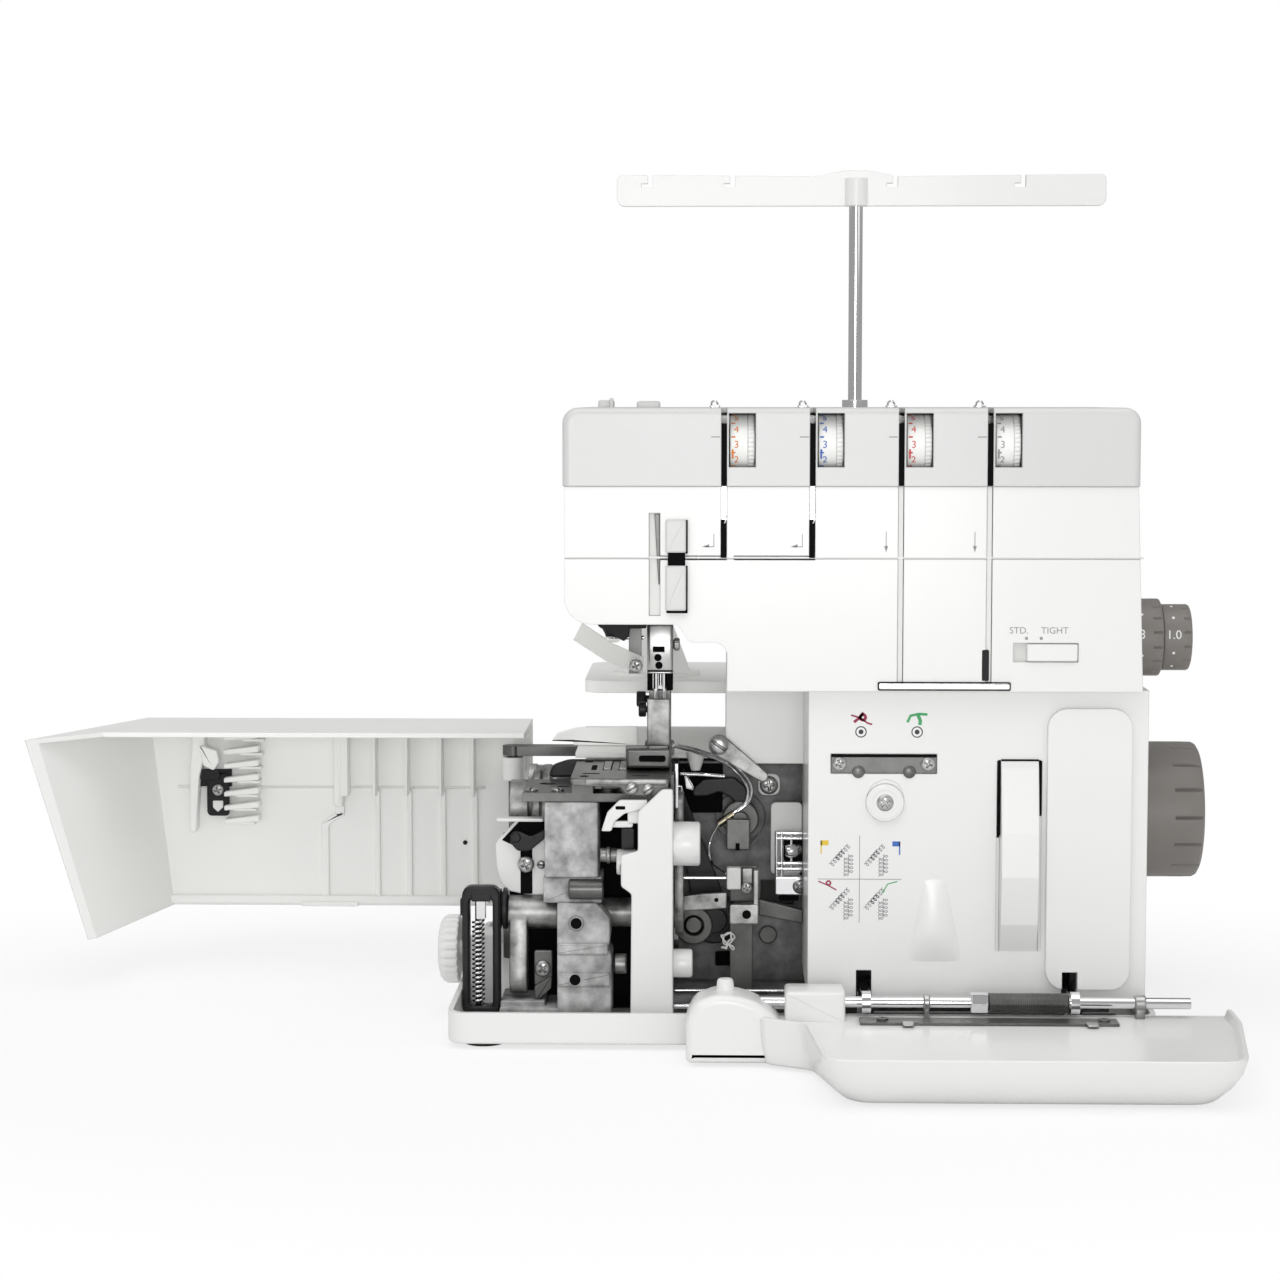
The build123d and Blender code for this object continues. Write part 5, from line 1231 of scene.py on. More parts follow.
@dataclass
class Slider:
    """The tension slider in its window, with a flange that keeps the window closed as it slides."""

    x: Pair = (79, 101.6)
    z: Pair = (177.9, 185.6)
    flange_x: Pair = (70, 107.6)

    def build(self, bench: Bench) -> None:
        """Makes the knob and its flange."""
        knob = tile(self.x, self.z, (-1.3, 3), 0.8, 0.4)
        bench.on("tension_slider", "slider_knob", knob, Dress.SHELL, True)
        # the flange takes the channel-shade grey: painted shade seen in the window round the knob
        flange = tile(self.flange_x, (self.z[0] - 3, self.z[1] + 3), (2.9, 4.5), 0.8, 0.3)
        bench.on("tension_slider", "slider_flange", flange, Dress.GROOVE)


@dataclass
class HousingFront:
    """Plate, boss, pictures for threading and fasteners on the lower housing's front."""

    face: float = 8
    plate_x: Pair = (-7.8, 39.8)
    plate_z: Pair = (126.2, 134.8)
    boss: Pair = (16.6, 113)
    picture_centre: Pair = (5.3, 77.8)
    hump_x: Pair = (27, 52)
    hump_z: Pair = (40, 78)

    def build(self, bench: Bench) -> None:
        """Makes the housing's fittings and prints."""
        node = "trim_screws"
        face = self.face
        backing = [tile(self.plate_x, self.plate_z, (face - 0.3, face + 1), 0.6, 0.2)]
        backing += [lathe(Axis.Y, (126.8, x), [(face - 0.9, 0.4), (face - 0.9, 2.2), (face - 0.5, 2.8),
                                               (face + 0.5, 2.8)]) for x in (4.5, 27.5)]
        bench.on(node, "tool_plate", backing, Dress.SMOKED, True)
        shade = tile(self.plate_x, (self.plate_z[1] - 1.3, self.plate_z[1]),
                            (face - 0.45, face + 0.4), 0.3, 0.15)
        bench.on(node, "tool_plate_shade", shade, Dress.VOID)
        screws = [screw_head(Axis.Y, (130.5, x), face - 0.2, face - 1.4, 3, Recess.CROSS, 20 * sign)
                  for x, sign in ((-4, 1), (36, -1))]
        screws.append(screw_head(Axis.Y, (self.boss[1], self.boss[0]), 6.9, 4.9, 3.8, Recess.CROSS, 40))
        screws += [screw_head(Axis.Z, spot, 112, 113.5, 2.9, Recess.SLOT, tilt) for spot, tilt in
                   (((-146, 50), 15), ((-134, 50), -25))]
        bench.on(node, "cross_screws", screws, Dress.STEEL)
        boss = [lathe(Axis.Y, (self.boss[1], self.boss[0]),
                      [(face, 8.8), (7.4, 8.5), (6.4, 8.1), (5.9, 7.4), (5.9, 5.6), (6.9, 4.8), (6.9, 0.5)]),
                panel([(8, 115), (10.5, 121), (16.6, 123.8), (23, 121.6), (25.6, 115), (16.6, 108)],
                      (face - 0.7, face + 0.4), 2, 0.6)]
        bench.on("lower_front_panel", "cover_boss", boss, Dress.SHELL)
        # painted shade: near-black strips along the tongue's gap, and grey strips inside it for the fainter
        # shade lower down
        edges = [tile((68.8, 85.8), (132, 132.8), (7.2, 8.4), 0.3, 0.1),
                 tile((67.6, 68.7), (98, 132.4), (7.4, 8.4), 0.3, 0.1),
                 tile((85.7, 86.8), (108, 132.4), (7.4, 8.4), 0.3, 0.1)]
        walls = [tile((66.8, 68.4), (44, 97), (8.4, 9.4), 0.5, 0.2),
                 tile((86.2, 87.8), (44, 107), (8.4, 9.4), 0.5, 0.2)]
        bench.on("lower_front_panel", "tongue_wall_shade", walls, Dress.GROOVE)
        bench.on("lower_front_panel", "tongue_gap_shade", edges, Dress.VOID)
        bench.on("lower_front_panel", "housing_hump", self._hump(), Dress.SHELL)
        self._pictures(bench)

    def _hump(self) -> Form:
        """Makes the moulded hump: its height is a bell across times a ramp that grows downwards.

        Returns:
            The closed form.
        """
        x = np.linspace(*self.hump_x, 40)
        z = np.linspace(*self.hump_z, 60)
        across = (2 * (x - self.hump_x[0]) / (self.hump_x[1] - self.hump_x[0]) - 1)[None, :]
        up = ((z - self.hump_z[0]) / (self.hump_z[1] - self.hump_z[0]))[:, None]
        width = 1 - 0.62 * up
        bell = np.clip(1 - (across / width) ** 2, 0, 1) ** 0.7
        height = 2.4 * bell * np.clip(1 - up ** 3, 0, 1) * np.sin(np.clip(up * 2.5, 0, 1) * math.pi / 2)
        skin = np.empty((len(z), 2 * len(x), 3))
        skin[..., 0] = np.concatenate((x, x[::-1]))[None, :]
        skin[..., 1] = np.concatenate((self.face + 0.05 - height, np.full_like(height, self.face + 0.6)),
                axis=1)
        skin[..., 2] = z[:, None]
        return grid_form(skin, ring=True, capped=True)

    def _pictures(self, bench: Bench) -> None:
        """Prints two threading pictures, their dots, and four stitch fields with coloured flags."""
        cx, cz = self.picture_centre
        face = self.face
        dots = [on_front(disc(2.6, 0.1, 2.1), spot, face) for spot in ((5.6, 145), (30.9, 145))]
        dots += [on_front(disc(1.1), spot, face) for spot in ((5.6, 145), (30.9, 145))]
        bench.on("lower_front_panel", "thread_dots", dots, Dress.INK)
        lines = [on_front(ribbon([(0, -20), (0, 0), (0, 20)], 0.3), (cx, cz), face),
                 on_front(ribbon([(-19, 0), (0, 0), (19, 0)], 0.3), (cx, cz), face)]
        stitches = []
        for qx, qz in ((cx - 8.2, cz + 9), (cx + 7.6, cz + 9), (cx - 8.2, cz - 11), (cx + 7.6, cz - 11)):
            stitches += [self._stitch_row(qx + dx, qz + dz, face, tilt) for dx, dz, tilt in
                         ((-2, 0.6, 50), (0.6, 3.2, 50), (2.2, -3.4, 90), (4.2, -2, 90))]
        bench.on("lower_front_panel", "stitch_pictures", lines + stitches, Dress.INK_GREY)
        flags = ((Dress.INK_YELLOW, -15.9, 16.6, 1), (Dress.INK_BLUE, 16.6, 16.2, -1))
        for ink, dx, dz, side in flags:
            flag = [on_front(ribbon([(-1.8, 0), (0, 0), (1.8, 0)], 2.3), (cx + dx, cz + dz), face),
                                on_front(ribbon([(0, 1), (0, -2), (0, -5)], 0.6),
                                         (cx + dx - 1.5 * side, cz + dz), face)]
            bench.on("lower_front_panel", f"flag_{ink.value.label}", flag, ink)
        hook = [on_front(ribbon([(-4.5, 2), (-1, 1), (3, -1.6), (5, -2.2)], 0.8), (5.6, 150.6), face),
                on_front(ribbon([(-3.8, -1.6), (-1.2, 0.4), (0.4, 2.8)], 1.3), (6.2, 151), face)]
        hook += [on_front(ribbon([(-4.2, 1.6), (0, -0.2), (4, -2.4)], 0.6), (cx - 14.4, cz - 2.6), face),
                 on_front(disc(1.3, 0.1, 0.5), (cx - 14, cz - 1.8), face),
                 on_front(disc(1.9, 0.12, 0.5), (6.4, 151.6), face)]
        bench.on("lower_front_panel", "hook_picture", hook, Dress.INK_MAROON)
        tube = [on_front(ribbon([(-4.4, -1.8), (-3, 1.2), (0.6, 2), (4.6, 1.8)], 1.2), (30.9, 151.2), face),
                on_front(ribbon([(0.4, 1.4), (1.4, -1), (1.2, -3)], 1.6), (30.9, 151.2), face)]
        tube.append(on_front(ribbon([(-3.4, -3), (-1, 1.2), (3.4, 2.4)], 0.5), (cx + 13.8, cz - 3.4), face))
        bench.on("lower_front_panel", "tube_picture", tube, Dress.INK_GREEN)

    @staticmethod
    def _stitch_row(x: float, z: float, face: float, tilt: float) -> Form:
        """Prints one row of loops: a line runs at a slant while it turns five times round.

        Args:
            x: X of its middle.
            z: Z of its middle.
            face: Y of the surface.
            tilt: how far it leans, in degrees.

        Returns:
            The printed row.
        """
        turn = np.linspace(0, 10 * math.pi, 110)
        way = np.linspace(-4.4, 4.4, 110) + 0.8 * np.sin(turn)
        side = np.cos(turn)
        slant = math.radians(tilt)
        loops = np.stack((way * math.cos(slant) - side * math.sin(slant),
                          way * math.sin(slant) + side * math.cos(slant)), axis=1)
        return on_front(ribbon([tuple(point) for point in loops], 0.34, 0.1), (x, z), face)


@dataclass
class KnifeSide:
    """The casting, levers, collars and brackets of the knife side, left of the partition."""

    front: float = 42
    back: float = 78
    floor: float = 5.2
    pivot: Pair = (60, 53)
    boss_x: Pair = (-158, -134)
    lever_x: Pair = (-156.9, -148.6)
    blade_x: float = -79
    release_pivot: Pair = (-154, 89)
    sheet_y: Pair = (61, 63)

    def build(self, bench: Bench) -> None:
        """Makes the casting first, then what turns in it and what is screwed to it."""
        self._casting(bench)
        self._knife(bench)
        self._release(bench)
        self._trimmings(bench)

    def _casting(self, bench: Bench) -> None:
        """Makes the stepped casting with its ridges, foot, side boss and drilled holes, and near-black plates
        that paint the shade in the holes and in the gaps behind it.
        """
        front, back, floor = self.front, self.back, self.floor
        blocks = [
            tile((-139.6, -114.7), (72.3, 107.9), (front, back), 1.2, 0.8),
            tile((-140.4, -113), (60, 72.6), (front + 1.4, back), 1, 0.8),
            panel([(-133.9, 60.4), (-115.5, 60.4), (-109.2, 53.4), (-109.2, 41.7), (-110.6, 38.7),
                   (-108.5, 35.5), (-108.5, floor), (-133.9, floor)], (front, back), 1.2, 0.8),
            tile((-133.6, -110.2), (36, 41.4), (front - 0.9, front + 2), 0.9, 0.8),
            tile((-133.6, -109.2), (20.9, 27.4), (front - 0.9, front + 2), 0.9, 0.8),
            tile((-161, -133), (floor, 10.4), (front, back), 0.8, 0.6),
            tile((-161, -140), (floor, 12.6), (front + 6, back), 0.8, 0.6)]
        blocks += [lathe(Axis.Y, (z, x), [(front - 0.9, 3.4), (front - 1.3, 3.1), (front - 1.3, 2.6),
                                          (front - 0.5, 2.4), (front + 1, 2.4)], 40)
                   for x, z in ((-124.9, 50.9), (-125.5, 24.2))]
        bench.on("knife_casting", "stepped_casting", blocks, Dress.ALLOY, True)
        bench.on("knife_casting", "casting_side_boss",
                 bar(Axis.X, (-128.5, -112.2), (front + 2.6, 66.6), 5, 0.6), Dress.SMOKED)
        # painted shade: near-black discs in the drilled holes and plates in the gaps behind the casting
        shadows = [on_front(disc(2.5), spot, front - 1.34) for spot in ((-124.9, 50.9), (-125.5, 24.2))]
        shadows += [tile((-158.5, -133), (10, 62), (74, 76), 0.5, 0.2),
                    tile((-114.6, -79.6), (floor, 104), (69, 70.4), 0.5, 0.2)]
        bench.on("knife_casting", "casting_recess_shade", shadows, Dress.VOID)

    def _knife(self, bench: Bench) -> None:
        """Makes the rocking shaft: brushed boss, black collars, hanging lever, and arm with its blade."""
        y, z = self.pivot
        turned = [bar(Axis.X, self.boss_x, self.pivot, 7.9, 0.5, 72),
                  bar(Axis.X, (-136, -75.2), self.pivot, 6.9)]
        lever = lever_outline((y, z), (y - 3.5, z - 31), (7.4, 7.2))
        arm = lever_outline((y, z), (y - 6, 107), (10.6, 4.6))
        turned += [plate(Axis.X, lever, self.lever_x, 0.8),
                   plate(Axis.X, arm, (self.blade_x, self.blade_x + 4), 0.4)]
        bench.on("upper_knife", "knife_shaft_and_levers", turned, Dress.WORN, True)
        blade = plate(Axis.X, rounded([(y - 12, 104), (y, 104), (y, 123), (y - 12, 125.4)], 0.6),
                      (self.blade_x - 0.1, self.blade_x + 1.6), 0.3)
        bench.on("upper_knife", "knife_blade", blade, Dress.PLATED)
        collars = lathe(Axis.X, (y, z + 1.5), [(-163.4, 2), (-163.4, 8.6), (-162.9, 9.4), (-161.2, 9.4),
                        (-160.9, 8), (-160.5, 8), (-160.2, 9.9), (-158.6, 9.9), (-158.2, 9.2), (-158.2, 2)])
        bench.on("upper_knife", "knife_collars", collars, Dress.BLACKED)

    def _release(self, bench: Bench) -> None:
        """Makes the white sheet bracket, near-black plates that paint the shade in its opening and slot, the
        black release lever and their screws.
        """
        low = self.sheet_y[0]
        px, pz = self.release_pivot
        sheet = [panel([(-163.4, 74), (-164.1, 85.5), (-152.7, 98), (-140.3, 98), (-140.3, 60.8),
                        (-149, 60.8), (-158.5, 62.8), (-162, 67)], self.sheet_y, 2, 0.5),
                 shelf((-163, -141), (low - 6, low + 0.5), (96.6, 98.2), 1),
                 panel([(-177, 5.2), (-164, 5.2), (-164, 40), (-177, 40)], (72, 92), 2, 0.8)]
        bench.on("front_partition", "release_bracket", sheet, Dress.SHELL)
        # painted shade: near-black plates in the bracket's triangular opening and its upright slot
        opening = [panel([(-161, 87), (-152.6, 96.2), (-140.8, 96.2), (-140.8, 92), (-147.5, 88.5),
                          (-153, 83.4)], (low - 0.3, low + 0.2), 0.5, 0.1),
                   tile((-152.2, -146.6), (61.4, 84), (low - 0.6, low + 0.1), 0.8, 0.3)]
        bench.on("front_partition", "release_opening_shade", opening, Dress.VOID)
        lever = [panel([(-140.2, 93), (-140.2, 88.6), (-147.5, 82.6), (-153.4, 82.6), (-157, 87),
                        (-156, 91.5), (-152, 92), (-147, 89.6)], (low - 5.6, low - 2.8), 1.6, 0.6),
                 bar(Axis.Y, (low - 6.2, low + 0.5), (pz, px), 2.2)]
        bench.on("knife_release_lever", "release_lever", lever, Dress.BLACKED, True)
        screws = [cross((-149.5, 75.7), low - 1, 3.9, 25),
                  cross((-142.4, 75.4), low - 0.4, 2, 0, Recess.SLOT), cross((-141.2, 27.1), 53.6, 3.8, 40)]
        bench.on("front_partition", "release_screws", screws, Dress.STEEL)
        bent = [tile((-145.4, -136.8), (19, 35.8), (53.4, 56), 1.2, 0.5),
                panel([(-145, 11), (-137.2, 18), (-136.9, 24), (-145.2, 19)], (51.5, 56), 0.8, 0.4)]
        bench.on("knife_casting", "bent_bracket", bent, Dress.SMOKED)

    def _trimmings(self, bench: Bench) -> None:
        """Makes the bosses in the gap, the dark cover and linkage behind, the plate's lip, and near-black
        fills that paint the shade in the plate's slots.
        """
        steel = [bar(Axis.X, (-113.6, -105.4), (40, 83.4), 3.3, 0.4),
                 bar(Axis.X, (-110.6, -108.8), (40, 83.4), 3.9),
                 bar(Axis.X, (-107.4, -101.6), (50, 30.3), 4.8, 0.5),
                 shelf((-120, -82.6), (29.4, 30.6), (117.6, 120.3), 0.3),
                 tile((-137.8, -127.6), (98, 112.4), (104, 109), 2.5, 0.6)]
        bench.on("lower_knife_bracket", "knife_side_bosses", steel, Dress.WORN)
        dark = [tile((-103.6, -97.6), (87.2, 97), (34, 44), 0.8, 0.4),
                panel([(-141, 112.5), (-139, 118.5), (-131, 121.2), (-104, 121.2), (-103, 113)],
                      (94.5, 99), 2.5, 1), tile((-128.9, -118.4), (105.8, 117.8), (98.5, 104), 1.5, 0.6),
                bar(Axis.X, (-136, -120), (101, 104), 2.4, 0.4)]
        bench.on("lower_knife_bracket", "linkage_behind_plate", dark, Dress.BLACKED)
        # the bed's end takes the lightened white moulding: painted light on a part in the arm's shade
        bed = panel([(-141, 126.6), (-138, 130.6), (-128, 133.4), (-98.4, 134), (-98.4, 124.4),
                     (-130.2, 124.4), (-130.2, 126.6)], (126, 128), 0.6, 0.5)
        bench.on("bed_and_column_cover", "bed_end", bed, Dress.PALE)
        disc_profile = [(-150.6, 3), (-150.6, 19.4), (-150, 20.4), (-146.8, 20.4), (-146.4, 19.6),
                        (-145.8, 19.6), (-145.4, 21.2), (-142, 21.2), (-141.4, 20.4), (-141.4, 3)]
        bench.on("main_shaft", "balance_discs", lathe(Axis.X, (140, 92), disc_profile, 96), Dress.WORN)
        # painted shade: near-black fills in the needle plate's slots
        slots = [plate(Axis.Z, lever_outline(start, end, (r, r)), (120.42, 120.58), 0.02) for start, end, r in
                 (((-117.5, 62), (-117.5, 78), 1.3), ((-121, 48), (-115, 48), 1.2), ((-98, 40), (-92, 40), 1),
                  ((-121, 92), (-121, 92.2), 2.1), ((-121, 38), (-121, 38.2), 2.1))]
        bench.on("needle_plate", "plate_slot_shade", slots, Dress.VOID)


@dataclass
class Partition:
    """The white upright wall between the knife side and the loopers, with its two bosses and hooks."""

    right: float = -79.5
    front: float = 22
    floor: float = 5.2
    bosses: tuple[Triple, ...] = ((89.9, 10.2, 12.5), (34, 6.6, 9))

    def build(self, bench: Bench) -> None:
        """Makes the wall, its bosses, the hooks above it and its screw."""
        right, front = self.right, self.front
        face = panel([(right, 116.6), (right - 5, 116.6), (-95.6, 106), (-95.6, 88), (-103.4, 86),
                      (-103.4, 71.5), (-98.6, 68), (-99.1, self.floor), (right, self.floor)],
                     (front, front + 2.5), 1.2, 0.7)
        wall = tile((right - 2.4, right), (self.floor, 112), (front + 0.6, 40), 0.6, 0.4)
        parts = [face, wall]
        for z, radius, reach in self.bosses:
            parts.append(lathe(Axis.X, (33, z),
                               [(right - 1, radius - 0.4), (right - 0.2, radius),
                                (right + reach - 1.2, radius), (right + reach - 0.3, radius - 0.4),
                                (right + reach, radius - 1.3), (right + reach, radius - 2.2),
                                (right + reach - 2, radius - 2.6), (right + reach - 2, 0.4)], 72))
        parts.append(lathe(Axis.X, (38, 80.5),
                           [(-105.8, 0.4), (-105.8, 5.4), (-105.2, 6), (-97, 6), (-97, 0.4)]))
        hook = [(-112.6, 96.5), (-109.8, 105.3), (-104.1, 111), (-91.4, 111), (-91.4, 107.2), (-102, 104.6),
                (-106.4, 101), (-108, 96.5)]
        parts += [panel(hook, (26.5, 29), 0.8, 0.4), tile((-108, -98), (98, 101), (28, 31), 1.2, 0.5),
                  tile((-100.5, -95), (100, 108.5), (27.5, 30), 1.2, 0.5)]
        bench.on("front_partition", "partition_wall", parts, Dress.SHELL, True)
        bench.on("front_partition", "partition_screw", cross((-100.6, 78.3), 31.6, 3.7, 30), Dress.STEEL)
        # painted shade: a near-black strip in the slot by the hook
        slot_shade_fill = [tile((-106, -101.5), (106.6, 108.2), (26.3, 26.7), 0.5, 0.1)]
        bench.on("front_partition", "hook_slot_shade", slot_shade_fill, Dress.VOID)


@dataclass
class SpringFrame:
    """The black frame at the far left with its chrome spring."""

    x: Pair = (-179, -161)
    z: Pair = (5.2, 66.8)
    y: Pair = (48, 56)
    centre: Pair = (-171.6, 52)

    def build(self, bench: Bench) -> None:
        """Makes the frame, its spring, the guide rod inside it and the block on top of it."""
        (x0, x1), (z0, z1) = self.x, self.z
        outer = rounded([(z0, x0), (z1, x0), (z1, x1), (z0, x1)], 5, 8)
        inner = rounded([(z0 + 4.8, x0 + 3.6), (z1 - 6, x0 + 3.6), (z1 - 6, x1 - 3.6), (z0 + 4.8, x1 - 3.6)],
                        2.2, 8)
        parts = [ringed(outer, inner, self.y, 1),
                 tile((x0 + 4.4, x1 - 4.4), (z1 - 7, z1 - 3.6), (self.y[0] - 0.6, self.y[1] - 1), 1),
                 tile((x0 - 0.9, x0 + 1), (z1 - 14, z1 - 6), (self.y[0] + 1, self.y[1] - 1), 0.6)]
        bench.on("spring_frame", "spring_holder", parts, Dress.BLACKED, True)
        spring = [coil(Axis.Z, self.centre, (10.2, 51), 2.5, 18, 0.62),
                  tile((-172.4, -168), (51, 60.4), (49.4, 54), 0.8)]
        bench.on("frame_spring", "chrome_spring", spring, Dress.PLATED, True)
        bench.on("frame_spring", "spring_core", bar(Axis.Z, (10, 60.6), self.centre, 1.5), Dress.BLACKED)


@dataclass
class LooperBay:
    """Loopers, thread tubes, guides and screws in the bay behind the front cover."""

    upper_pivot: Pair = (-48, 93)
    lower_pivot: Pair = (-60.7, 45)

    def build(self, bench: Bench) -> None:
        """Makes the loopers, then the guides from left to right."""
        self._loopers(bench)
        self._tubes(bench)
        self._linkage(bench)
        self._take_up(bench)

    def _loopers(self, bench: Bench) -> None:
        """Makes the two rocking loopers: hub, arm and bright tip each."""
        ux, uz = self.upper_pivot
        upper = [bar(Axis.Y, (91, 98.4), (uz, ux), 8.8, 0.5, 64), bar(Axis.Y, (88.4, 130), (uz, ux), 3.9)]
        bench.on("upper_looper", "upper_looper_hub", upper, Dress.SMOKED, True)
        finger = panel([(-71, 103.6), (-71, 107.6), (-66, 112), (-51, 113), (-45, 108), (-44, 99), (-49, 98),
                        (-52.5, 103), (-58, 106), (-64, 103.8)], (93.2, 97.2), 1.5, 0.7)
        bench.on("upper_looper", "upper_looper_arm_piece", finger, Dress.BLACKED)
        tip = panel([(-75.6, 116.8), (-74.4, 107.2), (-69.8, 106), (-71, 109.6)], (94.4, 96), 0.5, 0.3)
        bench.on("upper_looper", "upper_looper_tip", tip, Dress.PLATED)
        lx, lz = self.lower_pivot
        outline = lever_outline((lz, lx), (107.6, -78.6), (8.6, 2.8))
        lower = [bar(Axis.Y, (86, 98), (lz, lx), 11.8, 0.6, 64), plate(Axis.Y, outline, (86.2, 90), 0.5),
                 bar(Axis.Y, (82.8, 150), (lz, lx), 6.4, 0.4)]
        bench.on("lower_looper", "lower_looper_hub", lower, Dress.BLACKED, True)
        tip = panel([(-80, 110.8), (-76, 110), (-75.6, 105.6), (-83.6, 109)], (83.6, 86), 0.5, 0.3)
        bench.on("lower_looper", "lower_looper_tip", tip, Dress.PLATED)

    def _tubes(self, bench: Bench) -> None:
        """Bends the thread tubes, the loose thread and the shafts along smooth lines."""
        node = "looper_thread_guides"
        upper = [(-80, 66, 131.6), (-69, 80, 126.8), (-54, 89, 119.8), (-45.2, 90, 109.6), (-45.6, 90, 101.4),
                 (-51.4, 90, 96)]
        tubes = [wire(smooth_path(upper), 0.85, (0.3, 1, 0.1)),
                 wire(smooth_path(upper) + np.array((1.9, -0.6, 0.9)), 0.65, (0.3, 1, 0.1)),
                 wire(smooth_path([(-58.4, 89, 91), (-62.6, 84.2, 83), (-62, 83, 74), (-55, 66.5, 70.6)]),
                      0.55, (0.2, 0.4, 1)),
                 wire(smooth_path([(-77, 88, 115.2), (-66, 88, 114.9), (-55.5, 88, 114.2)]), 0.9, (0, 1, 0)),
                 bar(Axis.X, (-79.4, -54.8), (66, 68.5), 0.8, 0.1),
                 bar(Axis.X, (-79.4, -18.2), (66, 14.4), 0.9, 0.1),
                 bar(Axis.X, (-79.4, -18.2), (58, 8.6), 1.4, 0.1)]
        bench.on(node, "thread_tubes", tubes, Dress.PLATED)
        sleeve = [wire(smooth_path([(-58.6, 90, 90.8), (-55, 90, 93.2), (-51, 90, 95.8)]), 1.8,
                       (0, 1, 0), 20)]
        bench.on(node, "tube_sleeve", sleeve, Dress.BRASS)
        t = np.linspace(0, 2 * math.pi, 160)
        knot = np.stack((-54 + 2.4 * np.sin(3 * t) + 0.8 * np.cos(7 * t), 63.6 + 0.9 * np.cos(5 * t),
                         38.8 + 3.6 * np.cos(2 * t) + 0.6 * np.sin(9 * t)), axis=1)
        bench.on(node, "thread_end", wire(knot, 0.42, (0.13, 0.9, 0.41), 6), Dress.THREAD)
        cone = lathe(Axis.Z, (-69.6, 92), [(116.6, 0.4), (116.6, 2.3), (118, 2.7), (124.6, 4.6), (125.6, 4.6),
                    (126, 4), (126, 0.4)])
        bench.on(node, "tube_funnel", cone, Dress.SHELL)

    def _linkage(self, bench: Bench) -> None:
        """Makes the guide block, the box linkage on its post, the flat bar and the lever on the column."""
        node = "looper_thread_guides"
        steel = [panel([(-79.6, 59.6), (-79.6, 52.6), (-54.6, 54.2), (-54.6, 61.8), (-66, 61.2)],
                       (64, 66), 0.8), tile((-53.2, -39.6), (47.2, 56.6), (61, 64), 1),
                 tile((-42, -39.6), (47.2, 73), (61.4, 70), 0.6),
                 tile((-47.4, -42.4), (66, 73.6), (63, 68), 0.8)]
        lever = lever_outline((130.4, -58.4), (115.6, -37.6), (5, 2.6))
        steel.append(plate(Axis.Y, lever, (77, 79.6), 0.5))
        bench.on(node, "guide_linkage", steel, Dress.WORN, True)
        screws = [cross((-58.4, 130.4), 77, 4.3, -35, Recess.SLOT), cross((-45.2, 64.4), 63, 2.7, 15),
                  cross((-34.2, 108.7), 98.6, 4.4, 10), cross((-19.5, 61.6), 83.8, 3.4, 50),
                  cross((-20.5, 79), 87, 2.4, 50)]
        bench.on("trim_screws", "looper_bay_screws", screws, Dress.STEEL)
        dark = [tile((-53, -40), (56.6, 74), (69, 70.6), 0.6),
                tile((-53, -42.2), (13.2, 47.4), (66, 69), 0.6),
                tile((-54.8, -43.4), (79, 94), (84, 88.6), 0.8, 0.6),
                panel([(-39.4, 56.6), (-39.4, 49), (-18.2, 45), (-18.2, 51.4)], (76, 80), 0.8),
                lathe(Axis.Y, (42.7, -70.4), [(85.6, 9.2), (82.2, 9.2), (81.4, 8.6), (81.4, 5.2), (82.2, 4.6),
                        (85.6, 4.6)], 64), bar(Axis.Y, (82.6, 86), (42.7, -70.4), 4, 0.4),
                bar(Axis.Y, (98.6, 100.2), (35.3, -34.4), 4.4, 0.5),
                on_front(disc(10.9, 0.5, 10.1, 64), (-48.7, 88), 99.4)]
        bench.on(node, "dark_linkage", dark, Dress.SMOKED)
        # painted shade: near-black discs in holes and plates in the recesses of the looper bay
        black = [on_front(disc(2.1), (-45.2, 51.9), 60.95), on_front(disc(1), (-59.5, 58.3), 63.95),
                 tile((-50.4, -48.4), (78.9, 82.4), (83.8, 84.4), 0.2, 0.1),
                 tile((-79, -56.5), (95, 119), (98.9, 99.9), 1, 0.2),
                 tile((-60, -48), (20, 27), (98.9, 99.9), 1, 0.2)]
        bench.on(node, "bay_recess_shade", black, Dress.VOID)
        white = [tile((-54.6, -47.9), (63.8, 74.2), (60.8, 67), 0.9, 0.6),
                 tile((-39.4, -28.8), (103.6, 114.2), (98.7, 100), 4, 0.4)]
        bench.on(node, "white_guides", white, Dress.SHELL)

    def _take_up(self, bench: Bench) -> None:
        """Makes the looper thread take-up: a rounded backing, a chrome cage and near-black plates that paint
        the shade inside it.
        """
        node = "looper_thread_guides"
        backing = panel([(-33.4, 66), (-33.4, 101.2), (-18.2, 101.2), (-18.2, 66)], (92, 94), 3, 0.6)
        bench.on(node, "take_up_backing", backing, Dress.SHELL)
        cage = [bar(Axis.Z, (57, 88), (x, 86), 0.9, 0.2) for x in (-30.6, -28.2)]
        cage += [bar(Axis.X, (-30.6, -18.2), (86, z), 0.9, 0.2) for z in (87.2, 84.6, 72.6, 69.8)]
        cage += [bar(Axis.Z, (70, 87), (-23.6, 86), 0.7, 0.2),
                 tile((-31.6, -18.2), (57, 66.6), (83.8, 91.8), 1.6, 0.8),
                 lathe(Axis.X, (86, 78.6), [(-26.4, 0.4), (-26.4, 2.6), (-25, 3.4), (-22, 3.4), (-20.6, 2.6),
                        (-20.6, 0.4)])]
        bench.on(node, "take_up_cage", cage, Dress.PLATED)
        # painted shade: near-black plates inside the cage and under it
        inside = [tile((-27, -18.2), (73.4, 84), (87, 91.9), 0.6, 0.2),
                  tile((-29.4, -20), (54.4, 57.2), (85, 91), 0.8, 0.2)]
        bench.on(node, "take_up_inside_shade", inside, Dress.VOID)


